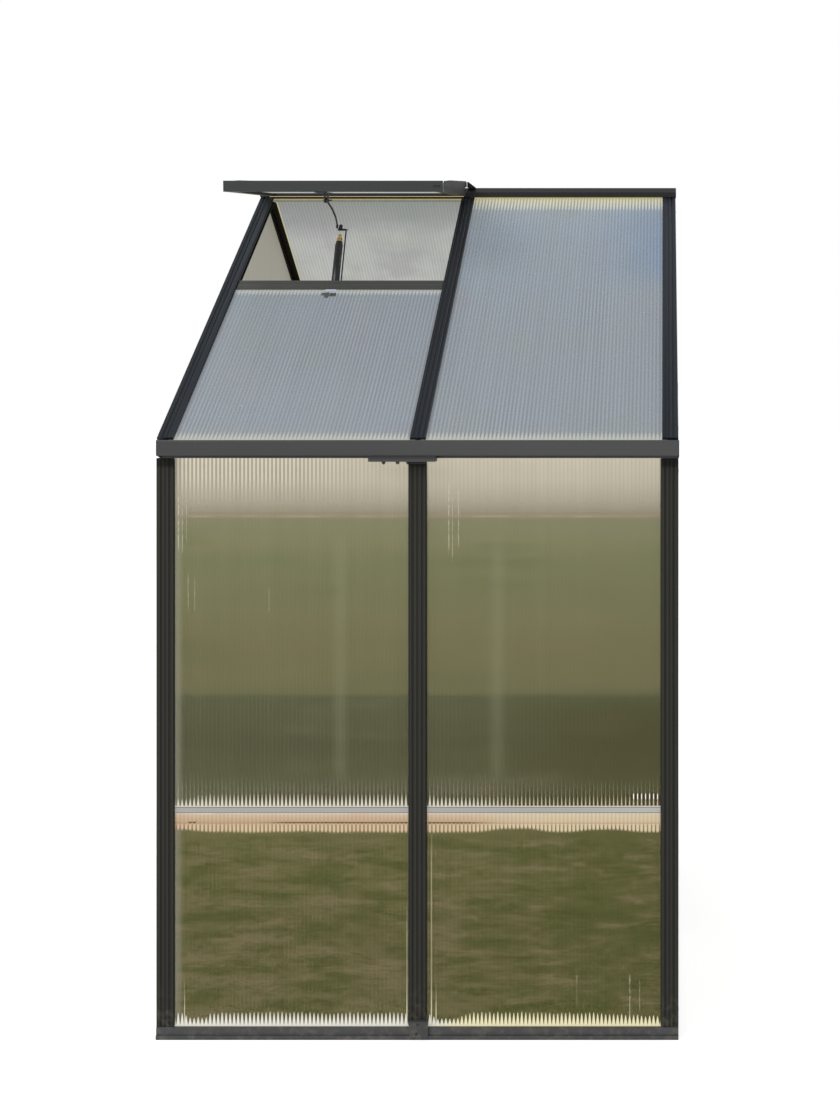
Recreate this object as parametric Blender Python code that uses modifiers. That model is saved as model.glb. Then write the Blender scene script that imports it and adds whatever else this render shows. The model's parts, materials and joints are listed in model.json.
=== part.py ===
"""Two-bay walk-in greenhouse section: aluminium glazing-bar frame, twin-wall
sheets, a ridge-hung roof vent held open by a wax-cylinder opener, and a hinged
door in the right gable.

Units are metres. X runs along the ridge, -Y is the front eave, +Z is up.
The origin is the bottom centre of the whole object's box.
"""

import math

import bmesh
import bpy
from mathutils import Matrix, Vector

# ---------------------------------------------------------- shared dimensions
POST_W = 0.042              # visible width of a wall bar
RAFTER_W = 0.039            # visible width of the middle rafters
END_RAFTER_W = 0.0395       # width of the gable rafters, in from the gable face
BAR_D = 0.036               # depth of a glazing bar

BAY = 0.610                 # pitch of the glazing bars along the ridge
HALF_X = BAY + POST_W / 2   # outer face of the gable walls
HALF_Y = 1.220              # outer face of the front and rear walls
PITCH = math.radians(30.0)  # roof pitch
COS_PITCH, SIN_PITCH = math.cos(PITCH), math.sin(PITCH)
RIDGE_Z = 2.156             # where the two outer roof planes meet
EAVE_Z = 1.404              # underside of the eave beam
BASE_H = 0.029              # height of the base rail
GAP = 0.0003                # running gap between touching pieces
END_GAP = 0.0004            # gap at the ends of the pieces between the bars

SLOT_OUT, SLOT_IN = 0.0065, 0.0175     # glazing slot, in from the bar's face
SHEET_T = 0.008                        # thickness of the twin-wall sheet
SHEET_MID = (SLOT_OUT + SLOT_IN) / 2   # middle of the sheet, in from the bar's face
WEB_EDGE = 0.007            # sheet's edge in a middle bar, from the bar's middle
CORNER_EDGE = 0.030         # sheet's edge in a corner post, in from the post's face
ROOF_CORNER_EDGE = 0.028    # sheet's edge in a gable rafter, in from the gable face

POST_Z0, POST_Z1 = BASE_H + GAP, EAVE_Z - GAP
RAFTER_TOP, RAFTER_END = 0.026, 1.4045   # distances down the slope from the ridge line
SILL_TOP = 0.572            # upper edge of the vent sill, down the slope
SILL_BOTTOM = SILL_TOP + 0.050

# The door's hinge axis also sets how far the whole object reaches to the right.
DOOR_AXIS_X, DOOR_AXIS_Y = 0.6365, 0.3110
BARREL_R = 0.0045           # door hinge barrel, the part furthest to the right
ORIGIN_SHIFT = -(DOOR_AXIS_X + BARREL_R - HALF_X) / 2

ROWS = ((-1, "front"), (1, "rear"))                      # sign of y, name
SIDES = ((-1, "left"), (1, "right"))                     # sign of x, name
COLUMNS = ((-1, "left"), (0, "center"), (1, "right"))    # sign of x, name

# ---------------------------------------------------------- scene and materials
for old in list(bpy.data.objects):
    bpy.data.objects.remove(old, do_unlink=True)

pieces = bpy.data.collections.new("greenhouse_section")
cutters = bpy.data.collections.new("cutters")
bpy.context.scene.collection.children.link(pieces)
bpy.context.scene.collection.children.link(cutters)


def axis_empty(name, location, parent=None, turn_x=0.0):
    """An empty that other pieces hang from, turned about X."""
    empty = bpy.data.objects.new(name, None)
    empty.parent = parent
    empty.location = location
    empty.rotation_euler = (turn_x, 0, 0)
    pieces.objects.link(empty)
    return empty


def material(name, rgb, roughness, metallic, alpha=1.0):
    mat = bpy.data.materials.new(name)
    mat.use_nodes = True
    shader = mat.node_tree.nodes["Principled BSDF"]
    shader.inputs["Base Color"].default_value = (*rgb, 1.0)
    shader.inputs["Roughness"].default_value = roughness
    shader.inputs["Metallic"].default_value = metallic
    shader.inputs["Alpha"].default_value = alpha
    mat.diffuse_color = (*rgb, alpha)
    return mat


root = axis_empty("frame_origin", (ORIGIN_SHIFT, 0, 0))

POWDER_COAT = material("frame_powder_coat", rgb=(0.052, 0.054, 0.056),
                       roughness=0.45, metallic=0.2)
TWIN_WALL = material("twin_wall_sheet", rgb=(0.55, 0.58, 0.60),
                     roughness=0.25, metallic=0.0, alpha=0.55)
JOIN_STRIP = material("joining_strip", rgb=(0.55, 0.55, 0.53),
                      roughness=0.35, metallic=0.6)
BLACK = material("opener_black", rgb=(0.015, 0.015, 0.016),
                 roughness=0.35, metallic=0.3)
BRASS = material("opener_brass", rgb=(0.62, 0.42, 0.16),
                 roughness=0.3, metallic=1.0)
ZINC = material("zinc_plate", rgb=(0.55, 0.55, 0.54),
                roughness=0.35, metallic=1.0)
HANDLE_PLASTIC = material("handle_plastic", rgb=(0.02, 0.02, 0.021),
                          roughness=0.4, metallic=0.0)

# ------------------------------------------------------------------ placements
IDENTITY = Matrix.Identity(4)

# Directions of a section's local x, y and z when it is swept along each axis:
# outlines are (y, z) along X, (x, z) along Y and (x, y) along Z.
SWEEP_AXES = {
    "X": ((0, 1, 0), (0, 0, 1), (1, 0, 0)),
    "Y": ((1, 0, 0), (0, 0, 1), (0, -1, 0)),
    "Z": ((1, 0, 0), (0, 1, 0), (0, 0, 1)),
}


def axes(x, y, z, at):
    """A placement whose local x, y and z run along these directions."""
    return Matrix([(x[i], y[i], z[i], at[i]) for i in range(3)] + [(0, 0, 0, 1)])


def slope_point(side, down, above):
    """(y, z) of a point this far down the slope and above its outer plane."""
    return (side * (COS_PITCH * down + SIN_PITCH * above),
            RIDGE_Z - SIN_PITCH * down + COS_PITCH * above)


def on_slope(side, x, down):
    """Local y is the roof's outward normal and local z runs along the slope."""
    y, z = slope_point(side, down, 0.0)
    across = Vector((1, 0, 0))
    normal = Vector((0, side * SIN_PITCH, COS_PITCH))
    return axes(across, normal, across.cross(normal), (x, y, z))


def below_roof(distance, depth):
    """Height, at this distance from the ridge line, of a plane this deep in the roof."""
    return RIDGE_Z - distance * math.tan(PITCH) - depth / COS_PITCH


def place(obj, matrix, mat, parent, collection=pieces):
    """Gives obj its place in its parent's frame, as location and rotation."""
    obj.parent = parent
    obj.location = matrix.to_translation()
    obj.rotation_euler = matrix.to_euler()
    if mat is not None:
        obj.data.materials.append(mat)
    collection.objects.link(obj)
    return obj


# -------------------------------------------------------------- shape builders
def anticlockwise(points):
    area = sum(
        a[0] * b[1] - b[0] * a[1] for a, b in zip(points, points[1:] + points[:1])
    )
    return points if area > 0 else points[::-1]


def mirrored(half):
    """Closes a half outline by reflecting it in the line x = 0."""
    return half + [(-x, y) for x, y in reversed(half) if x > 0]


def extrusion(name, points, length, matrix, mat, parent=root):
    """A bar of constant section: the outline is a closed 2D curve in local x, y,
    extruded by half its length each way along local z."""
    curve = bpy.data.curves.new(name, "CURVE")
    curve.dimensions = "2D"
    curve.fill_mode = "BOTH"
    curve.extrude = length / 2
    spline = curve.splines.new("POLY")
    points = anticlockwise(points)
    spline.points.add(len(points) - 1)
    for point, (x, y) in zip(spline.points, points):
        point.co = (x, y, 0.0, 1.0)
    spline.use_cyclic_u = True
    return place(bpy.data.objects.new(name, curve), matrix, mat, parent)


def sweep(name, points, axis, low, high, mat, parent=root):
    """An extrusion from low to high along the parent's X, Y or Z axis."""
    middle = [(low + high) / 2 if letter == axis else 0 for letter in "XYZ"]
    extrusion(name, points, high - low, axes(*SWEEP_AXES[axis], middle), mat, parent)


def sweep_slope(name, points, side, x, top, bottom, mat):
    """An extrusion down one roof slope, from top to bottom below the ridge line."""
    extrusion(name, points, bottom - top, on_slope(side, x, (top + bottom) / 2), mat)


def mesh_from(name, bm):
    mesh = bpy.data.meshes.new(name)
    bm.to_mesh(mesh)
    bm.free()
    return mesh


def box_mesh(name, low, high):
    bm = bmesh.new()
    bmesh.ops.create_cube(bm, size=1.0)
    for vert in bm.verts:
        for i in range(3):
            vert.co[i] = low[i] + (vert.co[i] + 0.5) * (high[i] - low[i])
    return mesh_from(name, bm)


def rod_mesh(name, radius, length):
    """A cylinder along local z, from 0 to length."""
    bm = bmesh.new()
    bmesh.ops.create_cone(
        bm, cap_ends=True, segments=24, radius1=radius, radius2=radius, depth=length
    )
    bmesh.ops.translate(bm, verts=bm.verts, vec=(0, 0, length / 2))
    return mesh_from(name, bm)


def box(name, low, high, mat, parent=root, matrix=IDENTITY):
    obj = bpy.data.objects.new(name, box_mesh(name, low, high))
    return place(obj, matrix, mat, parent)


def turned(name, profile, steps, matrix, mat, parent):
    """A turned piece: its (radius, height) profile, swept round local z by a Screw."""
    bm = bmesh.new()
    verts = [bm.verts.new((radius, 0, z)) for radius, z in profile]
    for one, two in zip(verts, verts[1:]):
        bm.edges.new((one, two))
    obj = place(bpy.data.objects.new(name, mesh_from(name, bm)), matrix, mat, parent)
    screw = obj.modifiers.new("turn", "SCREW")
    screw.steps = screw.render_steps = steps
    screw.use_merge_vertices = True
    screw.merge_threshold = 0.00005
    screw.use_smooth_shade = True
    return obj


def combine(obj, mesh, matrix, parent, operation):
    """Shapes obj by a Boolean with a hidden helper, and returns the helper."""
    helper = bpy.data.objects.new("cut_" + mesh.name, mesh)
    place(helper, matrix, None, parent, cutters)
    helper.hide_render = True
    helper.display_type = "WIRE"
    boolean = obj.modifiers.new(operation.lower(), "BOOLEAN")
    boolean.operation = operation
    boolean.solver = "EXACT"
    boolean.object = helper
    return helper


def smooth(obj):
    obj.data.shade_smooth()
    obj.data.set_sharp_from_angle(angle=math.radians(35))


# --------------------------------------------------------------- bar sections
def bar_section(width):
    """Middle glazing bar: ribbed cap, web, inner flange and a stem. Local x is
    across the bar and local y is outward, with the face at y = 0."""
    half_w = width / 2
    return mirrored([
        # ribbed face: middle groove, flat land, wider groove, lowered edge band
        (0.0, -0.0012), (0.0014, -0.0012), (0.0022, 0.0), (0.0086, 0.0),
        (0.0096, -0.0015), (0.0136, -0.0015), (0.0146, -0.0005),
        (half_w - 0.0010, -0.0005), (half_w, -0.0016),
        # slot, web, inner flange and stem
        (half_w, -SLOT_OUT), (0.006, -SLOT_OUT), (0.006, -SLOT_IN), (0.016, -SLOT_IN),
        (0.016, -0.0200), (0.0022, -0.0200), (0.0022, -BAR_D),
    ])


def corner_section():
    """Corner post: an L with one glazing slot in each arm. Each pair is the
    distance in from the gable face and in from the front or rear face."""
    arm = [
        (0.0012, 0.0), (0.0090, 0.0), (0.0098, 0.0015), (0.0138, 0.0015),
        (0.0146, 0.0), (0.0200, 0.0), (0.0206, 0.0012), (0.0228, 0.0012),
        (0.0234, 0.0), (0.0290, 0.0), (0.0300, 0.0015), (0.0340, 0.0015),
        (0.0350, 0.0), (POST_W - 0.0012, 0.0), (POST_W, 0.0012), (POST_W, 0.007),
        (0.029, 0.007), (0.029, 0.017), (POST_W, 0.017), (POST_W, 0.020),
    ]
    return arm + [(0.020, 0.020)] + [(b, a) for a, b in reversed(arm)]


# Gable rafter, (in from the gable face, outward): a slot for the roof sheet in
# its inner side and one for the gable sheet in its underside.
END_RAFTER_SECTION = [
    (0.0012, 0.0), (0.0100, 0.0), (0.0110, -0.0015), (0.0150, -0.0015),
    (0.0160, 0.0), (0.0215, 0.0), (0.0222, -0.0012), (0.0244, -0.0012),
    (0.0251, 0.0), (0.0384, 0.0), (END_RAFTER_W, -0.0012),
    (END_RAFTER_W, -0.007), (0.027, -0.007), (0.027, -0.017), (END_RAFTER_W, -0.017),
    (END_RAFTER_W, -0.020), (0.021, -0.020), (0.021, -BAR_D), (0.017, -BAR_D),
    (0.017, -0.025), (0.007, -0.025), (0.007, -BAR_D), (0.0, -BAR_D), (0.0, -0.0012),
]

# Eave beam and gutter in one section, (outward from the wall's face, above
# EAVE_Z): a slot below for the wall sheets, a bed above for the rafter ends and
# the gutter channel outside.
GUTTER_SECTION = [
    (-0.0420, 0.0), (-0.0173, 0.0), (-0.0173, 0.0130), (-0.0067, 0.0130),
    (-0.0067, 0.0), (0.0, 0.0), (0.0006, 0.0075), (0.0390, 0.0075),
    (0.0415, 0.0100), (0.0415, 0.0420), (0.0400, 0.0450), (0.0360, 0.0450),
    (0.0360, 0.0425), (0.0390, 0.0415), (0.0390, 0.0110), (0.0035, 0.0105),
    (0.0035, 0.0260), (0.0005, 0.0260), (0.0005, 0.0175), (-0.0240, 0.0175),
    (-0.0420, 0.0290),
]

# Half of the ridge bar, (y, above RIDGE_Z): a wing with a down-turned lip on a
# short web.
RIDGE_HALF = [
    (0.0, 0.0150), (0.0275, -0.0009), (0.0275, -0.0148), (0.0250, -0.0134),
    (0.0250, -0.0025), (0.0030, 0.0102), (0.0030, -0.0095), (0.0100, -0.0095),
    (0.0100, -0.0120), (0.0, -0.0120),
]

# Door jamb and header, (away from the door, in from the wall's face): a flat
# door side with a stop, and a glazing slot on the far side.
JAMB_W = 0.042
JAMB_SECTION = [
    (0.0012, 0.0), (0.0090, 0.0), (0.0098, 0.0015), (0.0138, 0.0015),
    (0.0146, 0.0), (0.0290, 0.0), (0.0300, 0.0015), (0.0340, 0.0015),
    (0.0350, 0.0), (0.0408, 0.0), (JAMB_W, 0.0012),
    (JAMB_W, 0.007), (0.029, 0.007), (0.029, 0.017), (JAMB_W, 0.017),
    (JAMB_W, 0.020), (0.014, 0.020), (0.014, 0.034), (-0.008, 0.034),
    (-0.008, 0.028), (0.0, 0.028), (0.0, 0.0012),
]

# Vent sill, (down from SILL_TOP, above the roof's outer plane).
SILL_SECTION = [
    (0.000, -0.0300), (0.000, -0.0050), (0.001, -0.0040), (0.012, -0.0040),
    (0.013, -0.0055), (0.018, -0.0055), (0.019, -0.0040), (0.034, -0.0040),
    (0.035, -0.0050), (0.039, -0.0050), (0.040, -0.0040), (0.050, -0.0046),
    (0.050, -0.0070), (0.039, -0.0070), (0.039, -0.0170), (0.050, -0.0170),
    (0.050, -0.0195), (0.020, -0.0195), (0.020, -0.0220), (0.003, -0.0220),
    (0.003, -0.0300),
]


def base_section(lip, face):
    """Base rail, (in from the wall's face, z): a lower lip, an upper face set
    back from it and a glazing slot in the top."""
    return [
        (lip, 0.0), (lip, 0.0095), (face, 0.0115), (face, BASE_H - 0.001),
        (face + 0.001, BASE_H), (0.0067, BASE_H), (0.0067, 0.016), (0.0173, 0.016),
        (0.0173, BASE_H), (0.042, BASE_H), (0.042, 0.0),
    ]


# ------------------------------------------------------------------ main frame
def build_base_rails():
    for side, row in ROWS:
        outline = [(side * (HALF_Y - inset), z)
                   for inset, z in base_section(lip=-0.006, face=-0.0015)]
        sweep(f"base_rail_{row}", outline, "X", -HALF_X, HALF_X, POWDER_COAT)
    end = HALF_Y - POST_W - GAP
    for side, column in SIDES:
        outline = [(side * (HALF_X - inset), z)
                   for inset, z in base_section(lip=0.0, face=0.0028)]
        sweep(f"base_rail_{column}", outline, "Y", -end, end, POWDER_COAT)


def build_posts():
    for sign_y, row in ROWS:
        for sign_x, column in COLUMNS:
            if sign_x:
                outline = [(sign_x * (HALF_X - x_inset), sign_y * (HALF_Y - y_inset))
                           for x_inset, y_inset in corner_section()]
            else:
                outline = [(x, sign_y * (HALF_Y + y)) for x, y in bar_section(POST_W)]
            sweep(f"post_{row}_{column}", outline, "Z", POST_Z0, POST_Z1, POWDER_COAT)


def build_eaves_and_ridge():
    for side, row in ROWS:
        outline = [(side * (HALF_Y + out), EAVE_Z + up) for out, up in GUTTER_SECTION]
        sweep(f"eave_gutter_{row}", outline, "X", -HALF_X, HALF_X, POWDER_COAT)
    box("gutter_splice_plate", (-0.1137, -(HALF_Y + 0.0360), EAVE_Z - 0.0072),
        (0.0483, -(HALF_Y + 0.0015), EAVE_Z + 0.0070), POWDER_COAT)
    outline = [(y, RIDGE_Z + up) for y, up in mirrored(RIDGE_HALF)]
    sweep("ridge_beam", outline, "X", -HALF_X, HALF_X, POWDER_COAT)


def build_rafters():
    for sign_y, row in ROWS:
        for sign_x, column in COLUMNS:
            if sign_x:
                outline = [(sign_x * (HALF_X - inset), y)
                           for inset, y in END_RAFTER_SECTION]
            else:
                outline = bar_section(RAFTER_W)
            sweep_slope(f"rafter_{row}_{column}", outline, sign_y, 0,
                        RAFTER_TOP, RAFTER_END, POWDER_COAT)


def build_vent_sill():
    """Bottom bar of the vent opening, in the front slope's left bay."""
    outline = [slope_point(-1, SILL_TOP + down, above) for down, above in SILL_SECTION]
    sweep("vent_sill", outline, "X", -HALF_X + END_RAFTER_W + END_GAP,
          -RAFTER_W / 2 - END_GAP, POWDER_COAT)


# ---------------------------------------------------- front, rear and roof sheets
SHEET_Z0, SHEET_Z1 = 0.0180, EAVE_Z + 0.0115   # wall sheets' ends, inside the slots
ROOF_SHEET_END = 1.425                         # down the slope

JOIN_Z = 0.5535             # middle of the strip that joins the front sheets
JOIN_H = 0.0175             # its height
JOIN_SHEET_GAP = 0.0014     # from its middle to each sheet's edge

# Outer half of the joining strip's H section, (out from the sheet's middle,
# above JOIN_Z).
JOINER_HALF = [
    (SHEET_T / 2 + 0.0004, -0.0010), (SHEET_T / 2 + 0.0004, -JOIN_H / 2),
    (SHEET_T / 2 + 0.0020, -JOIN_H / 2 + 0.0006),
    (SHEET_T / 2 + 0.0020, JOIN_H / 2 - 0.0006),
    (SHEET_T / 2 + 0.0004, JOIN_H / 2), (SHEET_T / 2 + 0.0004, 0.0010),
]


def wall_sheet(name, row_sign, column_sign, bottom, top):
    """A sheet between a corner post and the middle post."""
    x_low, x_high = sorted((column_sign * (HALF_X - CORNER_EDGE), column_sign * WEB_EDGE))
    middle = row_sign * (HALF_Y - SHEET_MID)
    box(name, (x_low, middle - SHEET_T / 2, bottom),
        (x_high, middle + SHEET_T / 2, top), TWIN_WALL)


def build_wall_sheets():
    joiner = [(-(HALF_Y - SHEET_MID) - out, JOIN_Z + up)
              for out, up in mirrored(JOINER_HALF)]
    for side, column in SIDES:
        wall_sheet(f"front_sheet_{column}_lower", -1, side,
                   SHEET_Z0, JOIN_Z - JOIN_SHEET_GAP)
        wall_sheet(f"front_sheet_{column}_upper", -1, side,
                   JOIN_Z + JOIN_SHEET_GAP, SHEET_Z1)
        wall_sheet(f"rear_sheet_{column}", 1, side, SHEET_Z0, SHEET_Z1)
        x_low, x_high = sorted((side * (HALF_X - POST_W - END_GAP),
                                side * (POST_W / 2 + END_GAP)))
        sweep(f"sheet_joiner_{column}", joiner, "X", x_low, x_high, JOIN_STRIP)


def build_roof_sheets():
    """One sheet per bay and slope; the one below the vent starts in the sill."""
    width = HALF_X - ROOF_CORNER_EDGE - WEB_EDGE
    for sign_y, row in ROWS:
        for sign_x, column in SIDES:
            top = RAFTER_TOP
            if (row, column) == ("front", "left"):
                top = SILL_BOTTOM - 0.0095
            length = ROOF_SHEET_END - top
            box(f"roof_sheet_{row}_{column}",
                (-width / 2, -SHEET_MID - SHEET_T / 2, -length / 2),
                (width / 2, -SHEET_MID + SHEET_T / 2, length / 2), TWIN_WALL,
                matrix=on_slope(sign_y, sign_x * (WEB_EDGE + width / 2),
                                (top + ROOF_SHEET_END) / 2))


# -------------------------------------------------------------------- gable ends
STUD_Y = HALF_Y / 3         # middle of each stud in the left gable
JAMB_Y = 0.313              # door side of each jamb in the right gable
HEADER_Z = 1.784            # underside of the door header
UPRIGHT_TOP_GAP = 0.0008    # below the rafter
GABLE_SHEET_DEPTH = 0.026   # gable sheet's top edge, below the roof's outer plane
JAMB_EDGE = 0.0300          # sheet's edge in a jamb or the header, from its door side
NOTCH = 0.001               # clearance of a gable sheet's notched corners


def build_gable_uprights():
    stud_top = below_roof(STUD_Y + POST_W / 2, BAR_D) - UPRIGHT_TOP_GAP
    jamb_top = below_roof(JAMB_Y + JAMB_W, BAR_D) - UPRIGHT_TOP_GAP
    for side, row in ROWS:
        stud = [(-HALF_X - y, side * STUD_Y + x) for x, y in bar_section(POST_W)]
        sweep(f"gable_stud_{row}", stud, "Z", POST_Z0, stud_top, POWDER_COAT)
        jamb = [(HALF_X - inset, side * (JAMB_Y + away)) for away, inset in JAMB_SECTION]
        sweep(f"door_jamb_{row}", jamb, "Z", POST_Z0, jamb_top, POWDER_COAT)


def build_door_header():
    outline = [(HALF_X - inset, HEADER_Z + away) for away, inset in JAMB_SECTION]
    end = JAMB_Y - 0.0084
    sweep("door_header", outline, "Y", -end, end, POWDER_COAT)


def gable_sheet(name, side, outline):
    """A gable sheet from its (y, z) outline."""
    middle = side * (HALF_X - SHEET_MID)
    sweep(name, outline, "X", middle - SHEET_T / 2, middle + SHEET_T / 2, TWIN_WALL)


def side_outline(side, inner):
    """A sheet from y = inner to the corner post, notched round the post's ends."""
    outer = HALF_Y - CORNER_EDGE
    notch_y = HALF_Y - POST_W - NOTCH
    low, high = BASE_H + NOTCH, EAVE_Z - NOTCH
    points = [
        (inner, SHEET_Z0), (notch_y, SHEET_Z0), (notch_y, low), (outer, low),
        (outer, high), (notch_y, high),
        (notch_y, below_roof(notch_y, GABLE_SHEET_DEPTH)),
        (inner, below_roof(inner, GABLE_SHEET_DEPTH)),
    ]
    return [(side * y, z) for y, z in points]


def peaked_outline(half_width, bottom):
    """A sheet under the ridge, with a peak in its top edge."""
    shoulder = below_roof(half_width, GABLE_SHEET_DEPTH)
    return [(-half_width, bottom), (half_width, bottom), (half_width, shoulder),
            (0, below_roof(0, GABLE_SHEET_DEPTH)), (-half_width, shoulder)]


def build_gable_sheets():
    for side, row in ROWS:
        gable_sheet(f"left_gable_sheet_{row}", -1, side_outline(side, STUD_Y + WEB_EDGE))
        gable_sheet(f"right_gable_sheet_{row}", 1, side_outline(side, JAMB_Y + JAMB_EDGE))
    gable_sheet("left_gable_sheet_middle", -1,
                peaked_outline(STUD_Y - WEB_EDGE, SHEET_Z0))
    gable_sheet("right_gable_sheet_over_door", 1,
                peaked_outline(JAMB_Y - 0.0010, HEADER_Z + JAMB_EDGE))


# --------------------------------------------------------------------- roof vent
# The sash is drawn in its own frame: the hinge axis is the origin, local -y runs
# down the sash to its lower edge and local z is outward.
VENT_X = -BAY / 2
VENT_REST = math.radians(3.93)           # sash's fall below level as built here
HINGE_DOWN, HINGE_UP = 0.024, 0.016      # hinge axis: along the slope, above it
HINGE = Vector(slope_point(-1, HINGE_DOWN, HINGE_UP))

SASH_HALF = 0.299                        # half the sash's width
SASH_END = 0.610                         # hinge axis to the sash's lower edge
SASH_BOTTOM = 0.0012 - HINGE_UP          # underside, over the rafters when shut
SASH_T = 0.0220                          # thickness of the rails
SASH_SLOT = (0.0078, 0.0178)             # glazing slot, above the underside
SASH_SLOT_D = 0.012                      # depth of the slot
TOP_RAIL = (0.0100, 0.0340)              # hinge rail's edges, down from the axis
LOW_RAIL = 0.5760                        # bottom rail's upper edge
SIDE_RAIL_W = 0.024


def hinge_rail_section():
    """(down from the hinge axis, above the sash's underside)"""
    upper, lower = TOP_RAIL
    slot_low, slot_high = SASH_SLOT
    return [
        (upper, 0.0), (lower, 0.0), (lower, slot_low), (lower - SASH_SLOT_D, slot_low),
        (lower - SASH_SLOT_D, slot_high), (lower, slot_high), (lower, 0.0210),
        (lower - 0.0015, SASH_T), (upper + 0.0040, SASH_T), (upper, 0.0190),
    ]


def bottom_rail_section():
    """(down from the hinge axis, above the sash's underside), with a raised lip
    at the lower edge."""
    slot_low, slot_high = SASH_SLOT
    return [
        (LOW_RAIL, 0.0), (SASH_END, 0.0), (SASH_END, 0.0290),
        (SASH_END - 0.0012, 0.0300), (SASH_END - 0.0048, 0.0300),
        (SASH_END - 0.0090, 0.0226), (LOW_RAIL + 0.0015, SASH_T), (LOW_RAIL, 0.0210),
        (LOW_RAIL, slot_high), (LOW_RAIL + SASH_SLOT_D, slot_high),
        (LOW_RAIL + SASH_SLOT_D, slot_low), (LOW_RAIL, slot_low),
    ]


def side_rail_section():
    """(in from the sash's side, above its underside), with a groove on top."""
    slot_low, slot_high = SASH_SLOT
    return [
        (0.0, 0.0), (SIDE_RAIL_W, 0.0), (SIDE_RAIL_W, slot_low), (SASH_SLOT_D, slot_low),
        (SASH_SLOT_D, slot_high), (SIDE_RAIL_W, slot_high), (SIDE_RAIL_W, 0.0210),
        (0.0225, SASH_T), (0.0150, SASH_T), (0.0140, 0.0208), (0.0100, 0.0208),
        (0.0090, SASH_T), (0.0015, SASH_T), (0.0, 0.0210),
    ]


def build_vent():
    """Builds the sash and returns its hinge axis."""
    vent = axis_empty("vent_axis", (VENT_X, HINGE.x, HINGE.y), root, VENT_REST)
    for name, section in (("vent_hinge_rail", hinge_rail_section()),
                          ("vent_bottom_rail", bottom_rail_section())):
        outline = [(-down, SASH_BOTTOM + up) for down, up in section]
        sweep(name, outline, "X", -SASH_HALF, SASH_HALF, POWDER_COAT, vent)
    for side, column in SIDES:
        outline = [(side * (SASH_HALF - inset), SASH_BOTTOM + up)
                   for inset, up in side_rail_section()]
        sweep(f"vent_side_rail_{column}", outline, "Y",
              -(LOW_RAIL - GAP), -(TOP_RAIL[1] + GAP), POWDER_COAT, vent)
    half_width = SASH_HALF - 0.0130
    overlap = 0.0110        # of the sheet, inside the rails' slots
    clearance = 0.0010      # above and below the sheet in the slot
    box("vent_glazing",
        (-half_width, -(LOW_RAIL + overlap), SASH_BOTTOM + SASH_SLOT[0] + clearance),
        (half_width, -(TOP_RAIL[1] - overlap), SASH_BOTTOM + SASH_SLOT[1] - clearance),
        TWIN_WALL, vent)
    return vent


# ------------------------------------------------------------------- vent opener
# Two arms meet at an elbow. The lower one stands on the vent sill and carries the
# wax cylinder, and the upper one hangs from the sash. Their lengths follow from
# the folded pose, in which both lie along the slope below the shut sash.
OPENER_X = -0.332
# Pivots, (down the slope, above its outer plane).
ARM_FOOT = (0.556, -0.046)               # lower arm's pivot on the sill bracket
ARM_HEAD = (0.528, -0.020)               # upper arm's pivot on the sash, vent shut
ARM_ELBOW = (0.340, -0.018)              # elbow, vent shut

FOOT = Vector(slope_point(-1, *ARM_FOOT))
HEAD_SHUT = Vector(slope_point(-1, *ARM_HEAD))
ELBOW_SHUT = Vector(slope_point(-1, *ARM_ELBOW))
LOWER_ARM = (ELBOW_SHUT - FOOT).length
UPPER_ARM = (ELBOW_SHUT - HEAD_SHUT).length
LINK_X, LINK_T = -0.0096, 0.0032         # upper arm's offset from OPENER_X, thickness

# Lower arm, (y, z) of the C-shaped plate is (outward, along): its long side runs
# beside the cylinder. Here local x is across the sweep and local y is along it.
ARM_PLATE = [
    (-0.0080, -0.0050), (-0.0070, -0.0060), (0.0170, -0.0060), (0.0180, -0.0050),
    (0.0180, LOWER_ARM + 0.0050), (0.0170, LOWER_ARM + 0.0060),
    (-0.0060, LOWER_ARM + 0.0060), (-0.0070, LOWER_ARM + 0.0050),
    (-0.0070, LOWER_ARM - 0.0140), (0.0135, LOWER_ARM - 0.0140),
    (0.0135, 0.0140), (-0.0080, 0.0140),
]

# Turned pieces, (radius, distance up the lower arm from its foot).
CYLINDER_Y0, CYLINDER_Y1 = 0.0205, 0.1640
CYLINDER_PROFILE = [
    (0.0, 0.1080), (0.0052, 0.1080), (0.0052, CYLINDER_Y1), (0.0085, CYLINDER_Y1),
    (0.0095, CYLINDER_Y1 - 0.0010), (0.0095, CYLINDER_Y1 - 0.0080),
    (0.0110, CYLINDER_Y1 - 0.0095), (0.0110, CYLINDER_Y0 + 0.0015),
    (0.0095, CYLINDER_Y0), (0.0, CYLINDER_Y0),
]
PISTON_Y0, PISTON_Y1 = 0.1350, 0.1900
PISTON_PROFILE = [
    (0.0, PISTON_Y1), (0.0036, PISTON_Y1), (0.0046, PISTON_Y1 - 0.0010),
    (0.0046, PISTON_Y0), (0.0, PISTON_Y0),
]

# Upper arm's middle line, (along the arm, sideways).
LINK_PATH = [
    (0.0, 0.0), (0.030, 0.004), (UPPER_ARM - 0.095, 0.0135),
    (UPPER_ARM - 0.036, 0.0135), (UPPER_ARM, 0.0),
]

# Sill bracket, (x from OPENER_X, above the roof's outer plane).
SILL_BRACKET = [
    (-0.0124, -0.0540), (-0.0090, -0.0540), (-0.0090, -0.0205), (0.0190, -0.0205),
    (0.0190, -0.0540), (0.0224, -0.0540), (0.0224, -0.0170), (-0.0124, -0.0170),
]


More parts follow.
